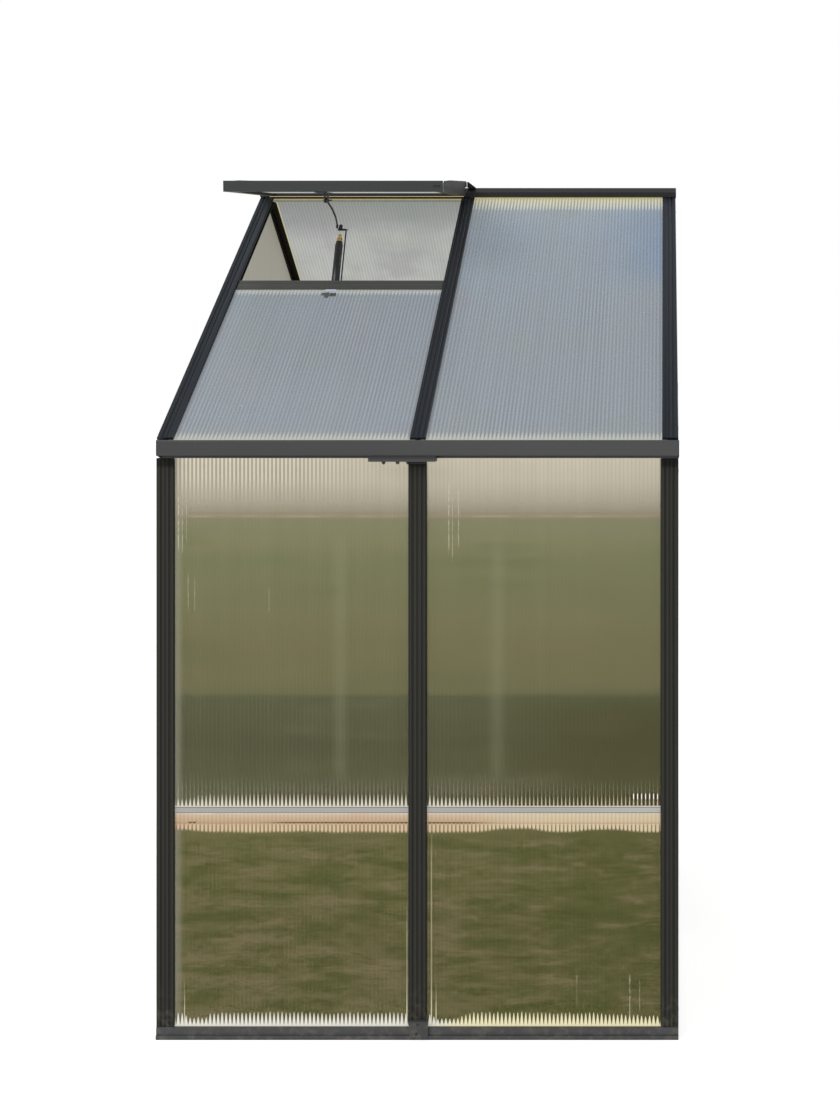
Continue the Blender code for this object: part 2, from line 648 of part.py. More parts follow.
def open_pose():
    """(y, z) of the upper arm's head and of the elbow with the sash open."""
    swing = PITCH - VENT_REST
    arm = HEAD_SHUT - HINGE
    head = HINGE + Vector((arm.x * math.cos(swing) + arm.y * math.sin(swing),
                           arm.y * math.cos(swing) - arm.x * math.sin(swing)))
    span = head - FOOT
    along = (LOWER_ARM**2 - UPPER_ARM**2 + span.length_squared) / (2 * span.length)
    offset = math.sqrt(LOWER_ARM**2 - along**2)
    unit = span.normalized()
    return head, FOOT + unit * along + Vector((unit.y, -unit.x)) * offset


def strap(path, half_width, end_radius, steps=8):
    """Outline of a flat link that follows path, with a round boss at each end."""
    path = [Vector(point) for point in path]
    left, right = [], []
    for before, point, after in zip(path, path[1:], path[2:]):
        along = ((point - before).normalized() + (after - point).normalized()).normalized()
        offset = Vector((-along.y, along.x)) * half_width
        left.append(point + offset)
        right.append(point - offset)

    def boss(centre, towards):
        out = math.atan2(centre.y - towards.y, centre.x - towards.x)
        half_arc = math.pi - math.asin(half_width / end_radius)
        angles = [out + half_arc * (k / steps - 1) for k in range(2 * steps + 1)]
        return [centre + end_radius * Vector((math.cos(angle), math.sin(angle)))
                for angle in angles]

    outline = boss(path[0], path[1]) + right + boss(path[-1], path[-2]) + left[::-1]
    return [tuple(point) for point in outline]


def build_lower_arm(elbow):
    reach = elbow - FOOT
    arm = axis_empty("opener_foot_axis", (OPENER_X, FOOT.x, FOOT.y), root,
                     math.atan2(reach.y, reach.x))
    sweep("opener_lower_arm", ARM_PLATE, "Z", -0.002, 0.002, BLACK, arm)
    up_arm = axes((1, 0, 0), (0, 0, -1), (0, 1, 0), (0, 0, 0))
    smooth(turned("opener_cylinder", CYLINDER_PROFILE, 24, up_arm, BLACK, arm))
    smooth(turned("opener_piston", PISTON_PROFILE, 20, up_arm, BRASS, arm))


def build_upper_arm(vent, head, elbow):
    """A flat link beside the lower arm's head, cranked to clear the cylinder
    when folded."""
    reach = elbow - head
    from_hinge = Vector((OPENER_X - VENT_X, head.x - HINGE.x, head.y - HINGE.y))
    arm = axis_empty("opener_head_axis", Matrix.Rotation(-VENT_REST, 3, "X") @ from_hinge,
                     vent, math.atan2(reach.y, reach.x) - VENT_REST)
    outline = strap(LINK_PATH, half_width=0.0028, end_radius=0.0062)
    sweep("opener_upper_arm", outline, "X",
          LINK_X - LINK_T / 2, LINK_X + LINK_T / 2, BLACK, arm)


def build_sill_bracket():
    """A channel that straddles the lower arm's foot."""
    sweep_slope("opener_sill_bracket", SILL_BRACKET, -1, OPENER_X,
                0.5480, SILL_TOP - END_GAP, ZINC)


def build_sash_bracket(vent):
    """A plate under the bottom rail with two ears for the link."""
    x = OPENER_X - VENT_X + LINK_X
    pivot_down = ARM_HEAD[0] - HINGE_DOWN
    pivot_z = ARM_HEAD[1] - HINGE_UP
    plate_top = SASH_BOTTOM - 0.0004
    bracket = box("opener_sash_bracket",
                  (x - 0.016, -(LOW_RAIL + 0.024), plate_top - 0.0022),
                  (x + 0.016, -(pivot_down - 0.012), plate_top), ZINC, vent)
    ear_t = 0.0032
    for k, ear_x in enumerate((x - 0.0058, x + 0.0026)):
        ear = box_mesh(f"ear{k}", (ear_x, -(pivot_down + 0.008), pivot_z - 0.0075),
                       (ear_x + ear_t, -(pivot_down - 0.008), plate_top - 0.0008))
        combine(bracket, ear, IDENTITY, vent, "UNION")
    smooth(bracket)


def build_opener(vent):
    head, elbow = open_pose()
    build_lower_arm(elbow)
    build_upper_arm(vent, head, elbow)
    build_sill_bracket()
    build_sash_bracket(vent)


# -------------------------------------------------------------------------- door
# Door sizes are given in the frame's coordinates; IN_DOOR moves them to the axis.
DOOR_HALF = 0.3085
DOOR_Z0, DOOR_Z1 = 0.0325, 1.7810
DOOR_FACE, DOOR_BACK = 0.629, 0.605      # outer and inner faces
STILE = 0.044                            # width of the stiles and end rails
MID_RAIL = (0.9380, 0.9820)              # bottom and top of the middle rail
PANE_MID = DOOR_FACE - 0.012             # middle of the door's sheet
IN_DOOR = Matrix.Translation((-DOOR_AXIS_X, -DOOR_AXIS_Y, 0))

HANDLE_Y, HANDLE_Z = -0.2865, 0.960
HANDLE_OUT = 0.6378         # outermost face of the flat turn latch
CAM_BACK, CAM_FRONT = 0.5900, 0.5955     # inner and outer faces of the cam


def pane_block(name, half_depth, overlap):
    """Corners of a block round the sheet, reaching this far into the door's edges."""
    half_width = DOOR_HALF - STILE + overlap
    return (name,
            (PANE_MID - half_depth, -half_width, DOOR_Z0 + STILE - overlap),
            (PANE_MID + half_depth, half_width, DOOR_Z1 - STILE + overlap))


def build_door_leaf(door):
    leaf = box("door_frame", (DOOR_BACK, -DOOR_HALF, DOOR_Z0),
               (DOOR_FACE, DOOR_HALF, DOOR_Z1), POWDER_COAT, door, IN_DOOR)
    openings = ((DOOR_Z0 + STILE, MID_RAIL[0]), (MID_RAIL[1], DOOR_Z1 - STILE))
    for k, (bottom, top) in enumerate(openings):
        pane = box_mesh(f"pane{k}", (DOOR_BACK - 0.01, -DOOR_HALF + STILE, bottom),
                        (DOOR_FACE + 0.01, DOOR_HALF - STILE, top))
        combine(leaf, pane, IN_DOOR, door, "DIFFERENCE")
    pocket = box_mesh(*pane_block("pocket", half_depth=0.005, overlap=0.012))
    combine(leaf, pocket, IN_DOOR, door, "DIFFERENCE")
    spindle = axes(*SWEEP_AXES["X"], (DOOR_BACK - 0.01 - DOOR_AXIS_X,
                                      HANDLE_Y - DOOR_AXIS_Y, HANDLE_Z))
    hole = rod_mesh("spindle_hole", radius=0.0058, length=0.05)
    combine(leaf, hole, spindle, door, "DIFFERENCE")
    box(*pane_block("door_glazing", half_depth=SHEET_T / 2, overlap=0.011),
        TWIN_WALL, door, IN_DOOR)


def build_door_handle(door):
    """Flat turn latch: a thin lever outside, a spindle through the stile and a
    turning cam inside. With the lever upright the cam hangs down and the door is
    free."""
    latch = axis_empty("door_handle_axis", (0, HANDLE_Y - DOOR_AXIS_Y, HANDLE_Z), door)

    def outward_from(x):
        return axes(*SWEEP_AXES["X"], (x - DOOR_AXIS_X, 0, 0))

    shaft_x = CAM_BACK + 0.001
    shaft = bpy.data.objects.new("door_handle", rod_mesh(
        "door_handle", radius=0.0052, length=HANDLE_OUT - 0.0024 - shaft_x))
    place(shaft, outward_from(shaft_x), HANDLE_PLASTIC, latch)

    collar_x = DOOR_FACE + 0.0005
    collar = rod_mesh("collar", radius=0.0092, length=HANDLE_OUT - 0.0036 - collar_x)
    combine(shaft, collar, outward_from(collar_x), latch, "UNION")

    lever_mesh = box_mesh("lever", (HANDLE_OUT - 0.0050 - DOOR_AXIS_X, -0.0105, -0.0160),
                          (HANDLE_OUT - DOOR_AXIS_X, 0.0105, 0.0780))
    lever = combine(shaft, lever_mesh, IDENTITY, latch, "UNION")
    bevel = lever.modifiers.new("edges", "BEVEL")
    bevel.width = 0.0014
    bevel.segments = 2

    cam = box_mesh("cam", (CAM_BACK - DOOR_AXIS_X, -0.0080, -0.0400),
                   (CAM_FRONT - DOOR_AXIS_X, 0.0080, 0.0090))
    combine(shaft, cam, IDENTITY, latch, "UNION")
    smooth(shaft)


def build_door_hinges():
    """Each is a barrel round the door's axis with one leaf on the jamb's face."""
    leaf_in = HALF_X + 0.0004 - DOOR_AXIS_X
    leaf_out = HALF_X + 0.0024 - DOOR_AXIS_X
    leaf_end = 0.0290
    start = math.acos(leaf_out / BARREL_R)
    steps = 20
    angles = [start - (start + math.pi) * k / steps for k in range(steps + 1)]
    outline = [(BARREL_R * math.cos(angle), BARREL_R * math.sin(angle))
               for angle in angles]
    outline += [(leaf_in, 0.0), (leaf_in, leaf_end), (leaf_out, leaf_end)]
    for name, z in (("door_hinge_lower", 0.260), ("door_hinge_upper", 1.540)):
        extrusion(name, outline, 0.070,
                  Matrix.Translation((DOOR_AXIS_X, DOOR_AXIS_Y, z)), POWDER_COAT)


def build_door():
    door = axis_empty("door_axis", (DOOR_AXIS_X, DOOR_AXIS_Y, 0), root)
    build_door_leaf(door)
    build_door_handle(door)
    build_door_hinges()


build_base_rails()
build_posts()
build_eaves_and_ridge()
build_rafters()
build_vent_sill()
build_wall_sheets()
build_roof_sheets()
build_gable_uprights()
build_door_header()
build_gable_sheets()
build_opener(build_vent())
build_door()
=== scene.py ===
"""Looks for the two-bay greenhouse section: powder-coated glazing bars, fluted
twin-wall sheets, fasteners, seals, the roof vent's opener, light and camera.
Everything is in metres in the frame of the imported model."""

import json
import math

import bmesh
import bpy
from mathutils import Matrix, Vector


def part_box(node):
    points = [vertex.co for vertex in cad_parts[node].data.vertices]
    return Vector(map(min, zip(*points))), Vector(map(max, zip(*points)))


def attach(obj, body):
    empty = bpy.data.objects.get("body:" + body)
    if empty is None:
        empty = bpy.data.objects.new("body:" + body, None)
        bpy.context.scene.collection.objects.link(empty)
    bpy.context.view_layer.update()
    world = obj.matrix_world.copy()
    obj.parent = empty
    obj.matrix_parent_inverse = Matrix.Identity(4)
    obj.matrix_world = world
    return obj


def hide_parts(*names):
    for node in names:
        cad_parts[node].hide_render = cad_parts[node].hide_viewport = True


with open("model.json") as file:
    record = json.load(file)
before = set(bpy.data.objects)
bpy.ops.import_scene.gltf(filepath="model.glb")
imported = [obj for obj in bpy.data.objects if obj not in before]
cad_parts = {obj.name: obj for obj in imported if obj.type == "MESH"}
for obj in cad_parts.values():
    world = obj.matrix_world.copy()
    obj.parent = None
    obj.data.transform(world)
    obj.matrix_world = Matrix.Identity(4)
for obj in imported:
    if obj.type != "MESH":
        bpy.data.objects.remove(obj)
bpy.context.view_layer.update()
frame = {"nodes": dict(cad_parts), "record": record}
nodes = frame["nodes"]
joints = {j["name"]: j for j in frame["record"]["behaviour"]["joints"]}

# ------------------------------------------------------------------ proportions
FLUTE = 0.00967            # pitch of the sheets' ribs
RIB = 0.0011               # thickness of a rib
SKIN = 0.0005              # thickness of the outer skin
BACK = 0.0007              # thickness of the inner skin
PITCH = math.radians(30)
C, S = math.cos(PITCH), math.sin(PITCH)

ridge_lo, ridge_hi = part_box("ridge_beam")
post_lo, post_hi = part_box("post_front_center")
MID_X = (post_lo.x + post_hi.x) / 2           # middle glazing bars
LEFT_X, RIGHT_X = ridge_lo.x, ridge_hi.x      # gable faces
WALL_Y = -post_lo.y                           # face of the front and rear walls
BASE_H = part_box("base_rail_front")[1].z
RIDGE_Z = 2.156                               # where the outer roof planes meet
JOIN_LO, JOIN_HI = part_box("sheet_joiner_left")[0].z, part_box("sheet_joiner_left")[1].z


def slope(side, s, n):
    """(Y, Z) of a point s down the slope from the ridge and n above its surface.
    side is -1 in front and 1 behind."""
    return side * (C * s + S * n), RIDGE_Z - S * s + C * n


# --------------------------------------------------------------------- colours
def srgb(r, g, b):
    """A colour given as 0-255 display values, as scene-linear numbers."""
    def lin(v):
        v /= 255
        return v / 12.92 if v <= 0.04045 else ((v + 0.055) / 1.055) ** 2.4
    return (lin(r), lin(g), lin(b))


class Graph:
    """A material's node tree, built from expressions."""

    def __init__(self, name):
        self.mat = bpy.data.materials.new(name)
        self.mat.use_nodes = True
        self.tree = self.mat.node_tree
        self.tree.nodes.clear()
        self.out = self.tree.nodes.new("ShaderNodeOutputMaterial")
        self.p = self.node("ShaderNodeTexCoord").outputs["Object"]
        xyz = self.node("ShaderNodeSeparateXYZ", Vector=self.p)
        self.x, self.y, self.z = xyz.outputs

    def plug(self, socket, value):
        if isinstance(value, bpy.types.NodeSocket):
            self.tree.links.new(value, socket)
        elif value is not None:
            if socket.type == "RGBA" and len(value) == 3:
                value = (*value, 1.0)
            socket.default_value = value

    def node(self, kind, settings=None, **inputs):
        n = self.tree.nodes.new(kind)
        for k, v in (settings or {}).items():
            setattr(n, k, v)
        for k, v in inputs.items():
            self.plug(n.inputs[k.replace("_", " ")], v)
        return n

    def math(self, op, a, b=None, c=None, clamp=False):
        n = self.tree.nodes.new("ShaderNodeMath")
        n.operation, n.use_clamp = op, clamp
        for socket, value in zip(n.inputs, (a, b, c)):
            self.plug(socket, value)
        return n.outputs[0]

    def add(self, a, b): return self.math("ADD", a, b)
    def sub(self, a, b): return self.math("SUBTRACT", a, b)
    def mul(self, a, b): return self.math("MULTIPLY", a, b)
    def top(self, a, b): return self.math("MAXIMUM", a, b)

    def product(self, *values):
        out = values[0]
        for v in values[1:]:
            out = self.mul(out, v)
        return out

    def step(self, v, low, high):
        """0 below low, 1 above high, smooth between them. Low may be the larger."""
        flip = low > high
        n = self.node("ShaderNodeMapRange", {"interpolation_type": "SMOOTHSTEP"})
        self.plug(n.inputs["Value"], v)
        n.inputs["From Min"].default_value = min(low, high)
        n.inputs["From Max"].default_value = max(low, high)
        n.inputs["To Min"].default_value = 1.0 if flip else 0.0
        n.inputs["To Max"].default_value = 0.0 if flip else 1.0
        return n.outputs["Result"]

    def bump_at(self, v, centre, half):
        """1 at centre, falling smoothly to 0 at half either side."""
        return self.step(self.math("ABSOLUTE", self.sub(v, centre)), half, 0.0)

    def window(self, v, low, high, soft):
        """1 between low and high, with soft edges outside them."""
        return self.mul(self.step(v, low - soft, low), self.step(v, high + soft, high))

    def vec(self, x, y, z):
        n = self.node("ShaderNodeCombineXYZ")
        for socket, value in zip(n.inputs, (x, y, z)):
            self.plug(socket, value)
        return n.outputs[0]

    def noise(self, vector, scale, detail=2.0, rough=0.5):
        n = self.node("ShaderNodeTexNoise", Vector=vector, Scale=scale, Detail=detail,
                      Roughness=rough)
        return n.outputs["Fac"]

    def white(self, value):
        n = self.node("ShaderNodeTexWhiteNoise", {"noise_dimensions": "1D"})
        self.plug(n.inputs["W"], value)
        return n.outputs["Value"]

    def mix(self, fac, a, b, blend="MIX"):
        n = self.node("ShaderNodeMix", {"data_type": "RGBA", "blend_type": blend})
        self.plug(n.inputs[0], fac)
        self.plug(n.inputs[6], a)
        self.plug(n.inputs[7], b)
        return n.outputs[2]

    def shade(self, colour, factor):
        """The colour times a number."""
        n = self.node("ShaderNodeVectorMath", {"operation": "SCALE"})
        self.plug(n.inputs[0], colour)
        self.plug(n.inputs["Scale"], factor)
        return n.outputs[0]

    def minus(self, colour, amount):
        """The colour less a flat amount, never below black."""
        n = self.node("ShaderNodeVectorMath", {"operation": "SUBTRACT"})
        self.plug(n.inputs[0], colour)
        n.inputs[1].default_value = (amount, amount, amount * 1.3)
        m = self.node("ShaderNodeVectorMath", {"operation": "MAXIMUM"})
        self.plug(m.inputs[0], n.outputs[0])
        m.inputs[1].default_value = (0.002, 0.002, 0.002)
        return m.outputs[0]

    def ramp(self, value, stops, interpolation="LINEAR"):
        n = self.node("ShaderNodeValToRGB")
        self.plug(n.inputs[0], value)
        r = n.color_ramp
        r.interpolation = interpolation
        while len(r.elements) > 1:
            r.elements.remove(r.elements[-1])
        r.elements[0].position = stops[0][0]
        r.elements[0].color = (*stops[0][1], 1)
        for at, colour in stops[1:]:
            r.elements.new(at).color = (*colour, 1)
        return n.outputs[0]

    def along(self, direction, keep=0.003):
        """The point with its part along direction shrunk, so a noise drawn on it
        runs in long streaks that way."""
        dot = self.node("ShaderNodeVectorMath", {"operation": "DOT_PRODUCT"})
        self.plug(dot.inputs[0], self.p)
        dot.inputs[1].default_value = direction
        part = self.node("ShaderNodeVectorMath", {"operation": "SCALE"})
        part.inputs[0].default_value = direction
        self.plug(part.inputs["Scale"], self.mul(dot.outputs["Value"], keep - 1))
        total = self.node("ShaderNodeVectorMath", {"operation": "ADD"})
        self.plug(total.inputs[0], self.p)
        self.plug(total.inputs[1], part.outputs[0])
        return total.outputs[0]

    def facing(self, axis):
        """How squarely the surface faces along X, Y or Z, from 0 to 1."""
        normal = self.node("ShaderNodeNewGeometry").outputs["Normal"]
        parts = self.node("ShaderNodeSeparateXYZ", Vector=normal).outputs
        return self.math("ABSOLUTE", parts[axis])

    def bump(self, height, strength, distance=0.001, normal=None):
        n = self.node("ShaderNodeBump", Strength=strength, Distance=distance,
                      Height=height)
        if normal is not None:
            self.plug(n.inputs["Normal"], normal)
        return n.outputs[0]

    def surface(self, **inputs):
        p = self.node("ShaderNodeBsdfPrincipled", **inputs)
        self.tree.links.new(p.outputs[0], self.out.inputs["Surface"])
        return p


# ------------------------------------------------------------- frame materials
def coat(name, rgb, direction, rough=0.44, spec=0.35, occlusion=0.55, edge=0.5,
         groove_shades=(), shade_top=None, fade=None, below=None):
    """Satin powder coat on an extrusion: orange-peel grain, faint die lines along
    the bar, painted shade in hollows and over the grooves, and slightly rubbed edges.
    Groove shade spans are (measure, centre, half width, depth of shade) across the bar."""
    g = Graph(name)
    streak = g.noise(g.along(direction), 420, 2.0, 0.6)
    broad = g.noise(g.along(direction, 0.25), 9, 3.0)
    grain = g.noise(g.p, 1500, 2.0, 0.6)
    # painted shade: ambient occlusion darkens the coat in hollows and between parts
    ao_shade = g.node("ShaderNodeAmbientOcclusion", {"samples": 6}, Distance=0.010)
    ao_shade = ao_shade.outputs["AO"]
    convex = g.node("ShaderNodeAmbientOcclusion", {"samples": 4, "inside": True},
                    Distance=0.0012).outputs["AO"]
    worn = g.mul(g.step(convex, 0.80, 0.45), g.step(g.noise(g.p, 160, 3.0), 0.40, 0.62))
    tone = g.add(g.mul(broad, 0.34), g.add(g.mul(streak, 0.22), g.mul(grain, 0.14)))
    tone = g.add(tone, 0.65)
    tone = g.mul(tone, g.add(g.mul(ao_shade, occlusion), 1 - occlusion))
    # painted shade in lines over the grooves
    for measure, centre, half, depth in groove_shades:
        line = g.step(g.math("ABSOLUTE", g.sub(measure(g), centre)), half + 0.0009, half - 0.0004)
        tone = g.mul(tone, g.sub(1.0, g.mul(line, depth)))
    # painted light: the tone brightens or darkens slowly along X
    if fade:             # a slow change along X, as (x, share) at two places
        (x0, a), (x1, b) = fade
        way = g.math("DIVIDE", g.sub(g.x, x0), x1 - x0, clamp=True)
        tone = g.mul(tone, g.add(a, g.mul(way, b - a)))
    # painted shade: darker towards the top
    if shade_top:
        low, high, depth = shade_top
        tone = g.mul(tone, g.sub(1.0, g.mul(g.step(g.z, low, high), depth)))
    base = g.shade(rgb, tone)
    base = g.mix(g.mul(worn, edge), base, tuple(min(1, c * 2.2 + 0.03) for c in rgb))
    # painted reflected light: faces that look down take the colour of the sheets under them
    if below is not None:    # faces that look down pick up the colour under them
        under = g.node("ShaderNodeSeparateXYZ", Vector=g.node("ShaderNodeNewGeometry").outputs["Normal"])
        base = g.mix(g.step(under.outputs[2], -0.70, -0.90), base, below)
    dust = g.mul(g.step(g.z, 0.16, 0.0), g.step(g.noise(g.p, 60, 4.0), 0.42, 0.75))
    base = g.mix(g.mul(dust, 0.28), base, srgb(118, 112, 98))
    roughness = g.add(g.mul(grain, 0.10), g.add(g.mul(broad, 0.10), rough - 0.10))
    normal = g.bump(streak, 0.10, 0.0004)
    normal = g.bump(grain, 0.16, 0.0003, normal)
    g.surface(Base_Color=base, Roughness=roughness, Normal=normal,
              Specular_IOR_Level=spec)
    return g.mat


def metal(name, rgb, rough=0.34, direction=(0, 0, 1), stain=0.35):
    """Plated or bare metal with brushing and a little tarnish."""
    g = Graph(name)
    brush = g.noise(g.along(direction, 0.02), 900, 2.0, 0.6)
    stainy = g.step(g.noise(g.p, 130, 4.0, 0.6), 0.45, 0.75)
    base = g.mix(g.mul(stainy, stain), rgb, tuple(c * 0.45 for c in rgb))
    base = g.shade(base, g.add(g.mul(brush, 0.3), 0.85))
    g.surface(Base_Color=base, Metallic=1.0,
              Roughness=g.add(g.mul(brush, 0.16), g.add(g.mul(stainy, 0.12), rough - 0.08)),
              Normal=g.bump(brush, 0.12, 0.0003))
    return g.mat


def moulded(name, rgb, rough=0.5, scale=1100, spec=0.4):
    """Moulded plastic or rubber with a fine spark-eroded grain."""
    g = Graph(name)
    grain = g.noise(g.p, scale, 3.0, 0.6)
    broad = g.noise(g.p, 22, 3.0)
    base = g.shade(rgb, g.add(g.mul(grain, 0.25), g.add(g.mul(broad, 0.35), 0.70)))
    g.surface(Base_Color=base, Roughness=g.add(g.mul(grain, 0.15), rough - 0.07),
              Normal=g.bump(grain, 0.22, 0.0003), Specular_IOR_Level=spec)
    return g.mat


def glow(name, rgb, share, waves=300):
    """A thin edge painted as lit: its own colour, part of it a painted glow standing in for light leaking through it.
    """
    g = Graph(name)
    ripple = g.noise(g.vec(g.mul(g.x, waves), g.mul(g.y, waves / 3), g.z), 1.0, 2.0)
    base = g.shade(rgb, g.add(0.85, g.mul(ripple, 0.3)))
    n = g.surface(Base_Color=g.shade(base, 1 - share), Roughness=g.add(0.35, g.mul(ripple, 0.1)),
                  Specular_IOR_Level=0.2)
    g.plug(n.inputs["Emission Color"], g.shade(base, share))
    n.inputs["Emission Strength"].default_value = 1.0
    return g.mat


SLOPE_F, SLOPE_R = (0.0, -C, -S), (0.0, C, -S)
# One powder coat on every bar; the tones of its copies below are painted light: posts darker and warm for painted shade
# and reflected ground, rafters darker and bluish for painted reflected sky, rails, gutters and sill lighter.
POST_RGB, RAFTER_RGB = (0.0222, 0.0212, 0.0164), (0.0115, 0.0135, 0.0172)
RAIL_RGB, SASH_RGB = (0.0445, 0.0440, 0.0435), (0.0228, 0.0240, 0.0236)
along_x = lambda g: g.sub(g.x, MID_X)
# painted shade over the middle bars' grooves
middle_groove_shade = [(along_x, 0.0, 0.0013, 0.42), (along_x, -0.0116, 0.0021, 0.48),
                  (along_x, 0.0116, 0.0021, 0.40), (along_x, -0.0205, 0.0014, 0.45),
                  (along_x, 0.0205, 0.0014, 0.45)]


def corner_groove_shade(face):
    """Painted shade over the grooves of a bar whose outline starts at a gable face,
    on whichever of its two outer faces is seen."""
    def reach(g):
        in_x = g.math("ABSOLUTE", g.sub(g.x, face))
        in_y = g.sub(WALL_Y, g.math("ABSOLUTE", g.y))
        side = g.step(g.facing(0), 0.4, 0.6)
        return g.add(g.mul(in_x, g.sub(1.0, side)), g.mul(in_y, side))
    return [(reach, 0.0118, 0.0021, 0.46), (reach, 0.0217, 0.0012, 0.40),
            (reach, 0.0320, 0.0021, 0.46), (reach, 0.0418, 0.0012, 0.45)]


# painted shade over the grooves near a bar's end at a gable face
def end_groove_shade(face):
    reach = lambda g: g.math("ABSOLUTE", g.sub(g.x, face))
    return [(reach, 0.0130, 0.0021, 0.45), (reach, 0.0233, 0.0012, 0.40),
            (reach, 0.0395, 0.0010, 0.40), (reach, 0.0310, 0.0012, 0.25)]


# painted shadow under the gutter on the posts' tops, as (from, to, depth)
GUTTER_SHADOW = (1.377, 1.388, 0.72)
M_POST = coat("coat_posts", POST_RGB, (0, 0, 1), rough=0.52, spec=0.15, occlusion=0.5, groove_shades=middle_groove_shade,
              shade_top=GUTTER_SHADOW)
M_POST_L = coat("coat_left_posts", POST_RGB, (0, 0, 1), rough=0.52, spec=0.15, occlusion=0.5,
                groove_shades=corner_groove_shade(LEFT_X), shade_top=GUTTER_SHADOW)
M_POST_R = coat("coat_right_posts", POST_RGB, (0, 0, 1), rough=0.52, spec=0.15, occlusion=0.5,
                groove_shades=corner_groove_shade(RIGHT_X), shade_top=GUTTER_SHADOW)
M_STUD = coat("coat_gable_studs", POST_RGB, (0, 0, 1), occlusion=0.7)
M_RAFTER_F = coat("coat_front_rafters", RAFTER_RGB, SLOPE_F, rough=0.5, spec=0.17, occlusion=0.5, groove_shades=middle_groove_shade)
M_RAFTER_R = coat("coat_rear_rafters", RAFTER_RGB, SLOPE_R, rough=0.5, spec=0.17, occlusion=0.5, groove_shades=middle_groove_shade)
M_RAFTER_FL = coat("coat_front_left_rafter", RAFTER_RGB, SLOPE_F, rough=0.5, spec=0.17, occlusion=0.5,
                   groove_shades=end_groove_shade(LEFT_X))
M_RAFTER_FR = coat("coat_front_right_rafter", RAFTER_RGB, SLOPE_F, rough=0.5, spec=0.17, occlusion=0.5,
                   groove_shades=end_groove_shade(RIGHT_X))
M_RAFTER_RL = coat("coat_rear_left_rafter", (0.0120, 0.0108, 0.0065), SLOPE_R, rough=0.5, spec=0.12, occlusion=0.5,
                   groove_shades=end_groove_shade(LEFT_X))
M_RAFTER_RR = coat("coat_rear_right_rafter", RAFTER_RGB, SLOPE_R, rough=0.5, spec=0.17, occlusion=0.5,
                   groove_shades=end_groove_shade(RIGHT_X))
M_RAIL_X = coat("coat_long_rails", RAIL_RGB, (1, 0, 0))
# gutter: painted light, darker at the left end and lighter at the right, and painted shade on its recessed lip
M_GUTTER = coat("coat_gutters", (0.0405, 0.0400, 0.0392), (1, 0, 0), occlusion=0.8,
                groove_shades=[(lambda g: g.z, 1.4072, 0.0040, 0.45)],
                fade=((LEFT_X, 0.74), (RIGHT_X, 1.12)))
M_RIDGE = coat("coat_ridge", (0.0150, 0.0142, 0.0138), (1, 0, 0), rough=0.5, spec=0.18)
M_RAIL_Y = coat("coat_gable_rails", RAIL_RGB, (0, 1, 0))
M_SASH_X = coat("coat_sash_rails", SASH_RGB, (1, 0, 0))
# the sash's sides get painted reflected light from the sheets below
M_SASH_Y = coat("coat_sash_sides", (0.0175, 0.0172, 0.0150), (0, 1, 0), rough=0.55, spec=0.10,
                below=srgb(104, 98, 66))
M_SILL = coat("coat_sill", (0.0475, 0.0475, 0.0410), (1, 0, 0))
M_DOOR = coat("coat_door", (0.034, 0.0345, 0.034), (0, 0, 1))
M_SHADE = coat("coat_shaded_parts", (0.0150, 0.0148, 0.0130), (0, 1, 0), rough=0.55, spec=0.12)
M_SMALL = coat("coat_small_parts", (0.034, 0.034, 0.033), (1, 0, 0), edge=0.9)
M_BLACK = coat("opener_enamel", (0.0085, 0.0075, 0.0095), (0, 0.494, 0.869), rough=0.34,
               spec=0.45, edge=0.9)
M_ZINC = metal("zinc_plating", (0.52, 0.52, 0.50))
M_STEEL = metal("stainless_fasteners", (0.46, 0.45, 0.43), 0.30, (1, 0, 0))
M_DARK_STEEL = metal("blackened_fasteners", (0.055, 0.052, 0.050), 0.42)
M_BRASS = metal("brass", (0.66, 0.47, 0.17), 0.28, (0, 0.494, 0.869))
M_COPPER = metal("copper_rivets", (0.50, 0.20, 0.13), 0.35)
M_SEAL = moulded("glazing_seal", (0.012, 0.012, 0.012), 0.62, 900, 0.3)
M_HANDLE = moulded("handle_plastic", (0.014, 0.014, 0.015), 0.46)
M_CAP = moulded("end_caps", (0.030, 0.030, 0.030), 0.50, 900)
M_GOLD_EDGE = glow("ridge_seal_edge", srgb(214, 190, 140), 0.75)
M_OLIVE = glow("olive_weather_strip", srgb(92, 88, 62), 0.35)
M_CLIP = glow("clear_clip", srgb(176, 184, 198), 0.45, 900)


# ------------------------------------------------------------- sheet materials
# Colours down a wall sheet, from the ground to the eave, painted light and the blurred
# ground and hedges seen through the sheet: the olive lower sheet, the darker belt over the
# joining strip, the grey-green body and the pale band under the gutter. (height, colour).
WALL_STOPS = [
    (0.000, srgb(102, 98, 68)), (0.100, srgb(100, 96, 66)), (0.184, srgb(100, 95, 65)),
    (0.281, srgb(94, 91, 60)), (0.378, srgb(98, 95, 62)), (0.480, srgb(98, 96, 63)),
    (0.530, srgb(112, 104, 74)), (0.556, srgb(96, 92, 72)), (0.600, srgb(90, 88, 67)),
    (0.668, srgb(87, 86, 64)), (0.7165, srgb(85, 84, 64)), (0.765, srgb(89, 88, 67)),
    (0.8265, srgb(91, 92, 70)), (0.8345, srgb(109, 106, 79)), (0.862, srgb(111, 108, 80)),
    (0.958, srgb(115, 111, 82)), (1.055, srgb(117, 116, 86)), (1.152, srgb(120, 120, 91)),
    (1.200, srgb(127, 126, 97)), (1.2555, srgb(131, 129, 103)), (1.2595, srgb(148, 136, 115)),
    (1.268, srgb(148, 139, 118)), (1.275, srgb(150, 143, 124)), (1.2975, srgb(165, 159, 141)),
    (1.3215, srgb(175, 169, 151)), (1.3457, srgb(186, 180, 161)), (1.370, srgb(195, 189, 170)),
    (1.400, srgb(214, 206, 188)), (1.700, srgb(184, 180, 166)), (2.100, srgb(172, 170, 158)),
]
TOP = 2.2
GAIN = 1.10                # evens out what the flutes' own shading takes away


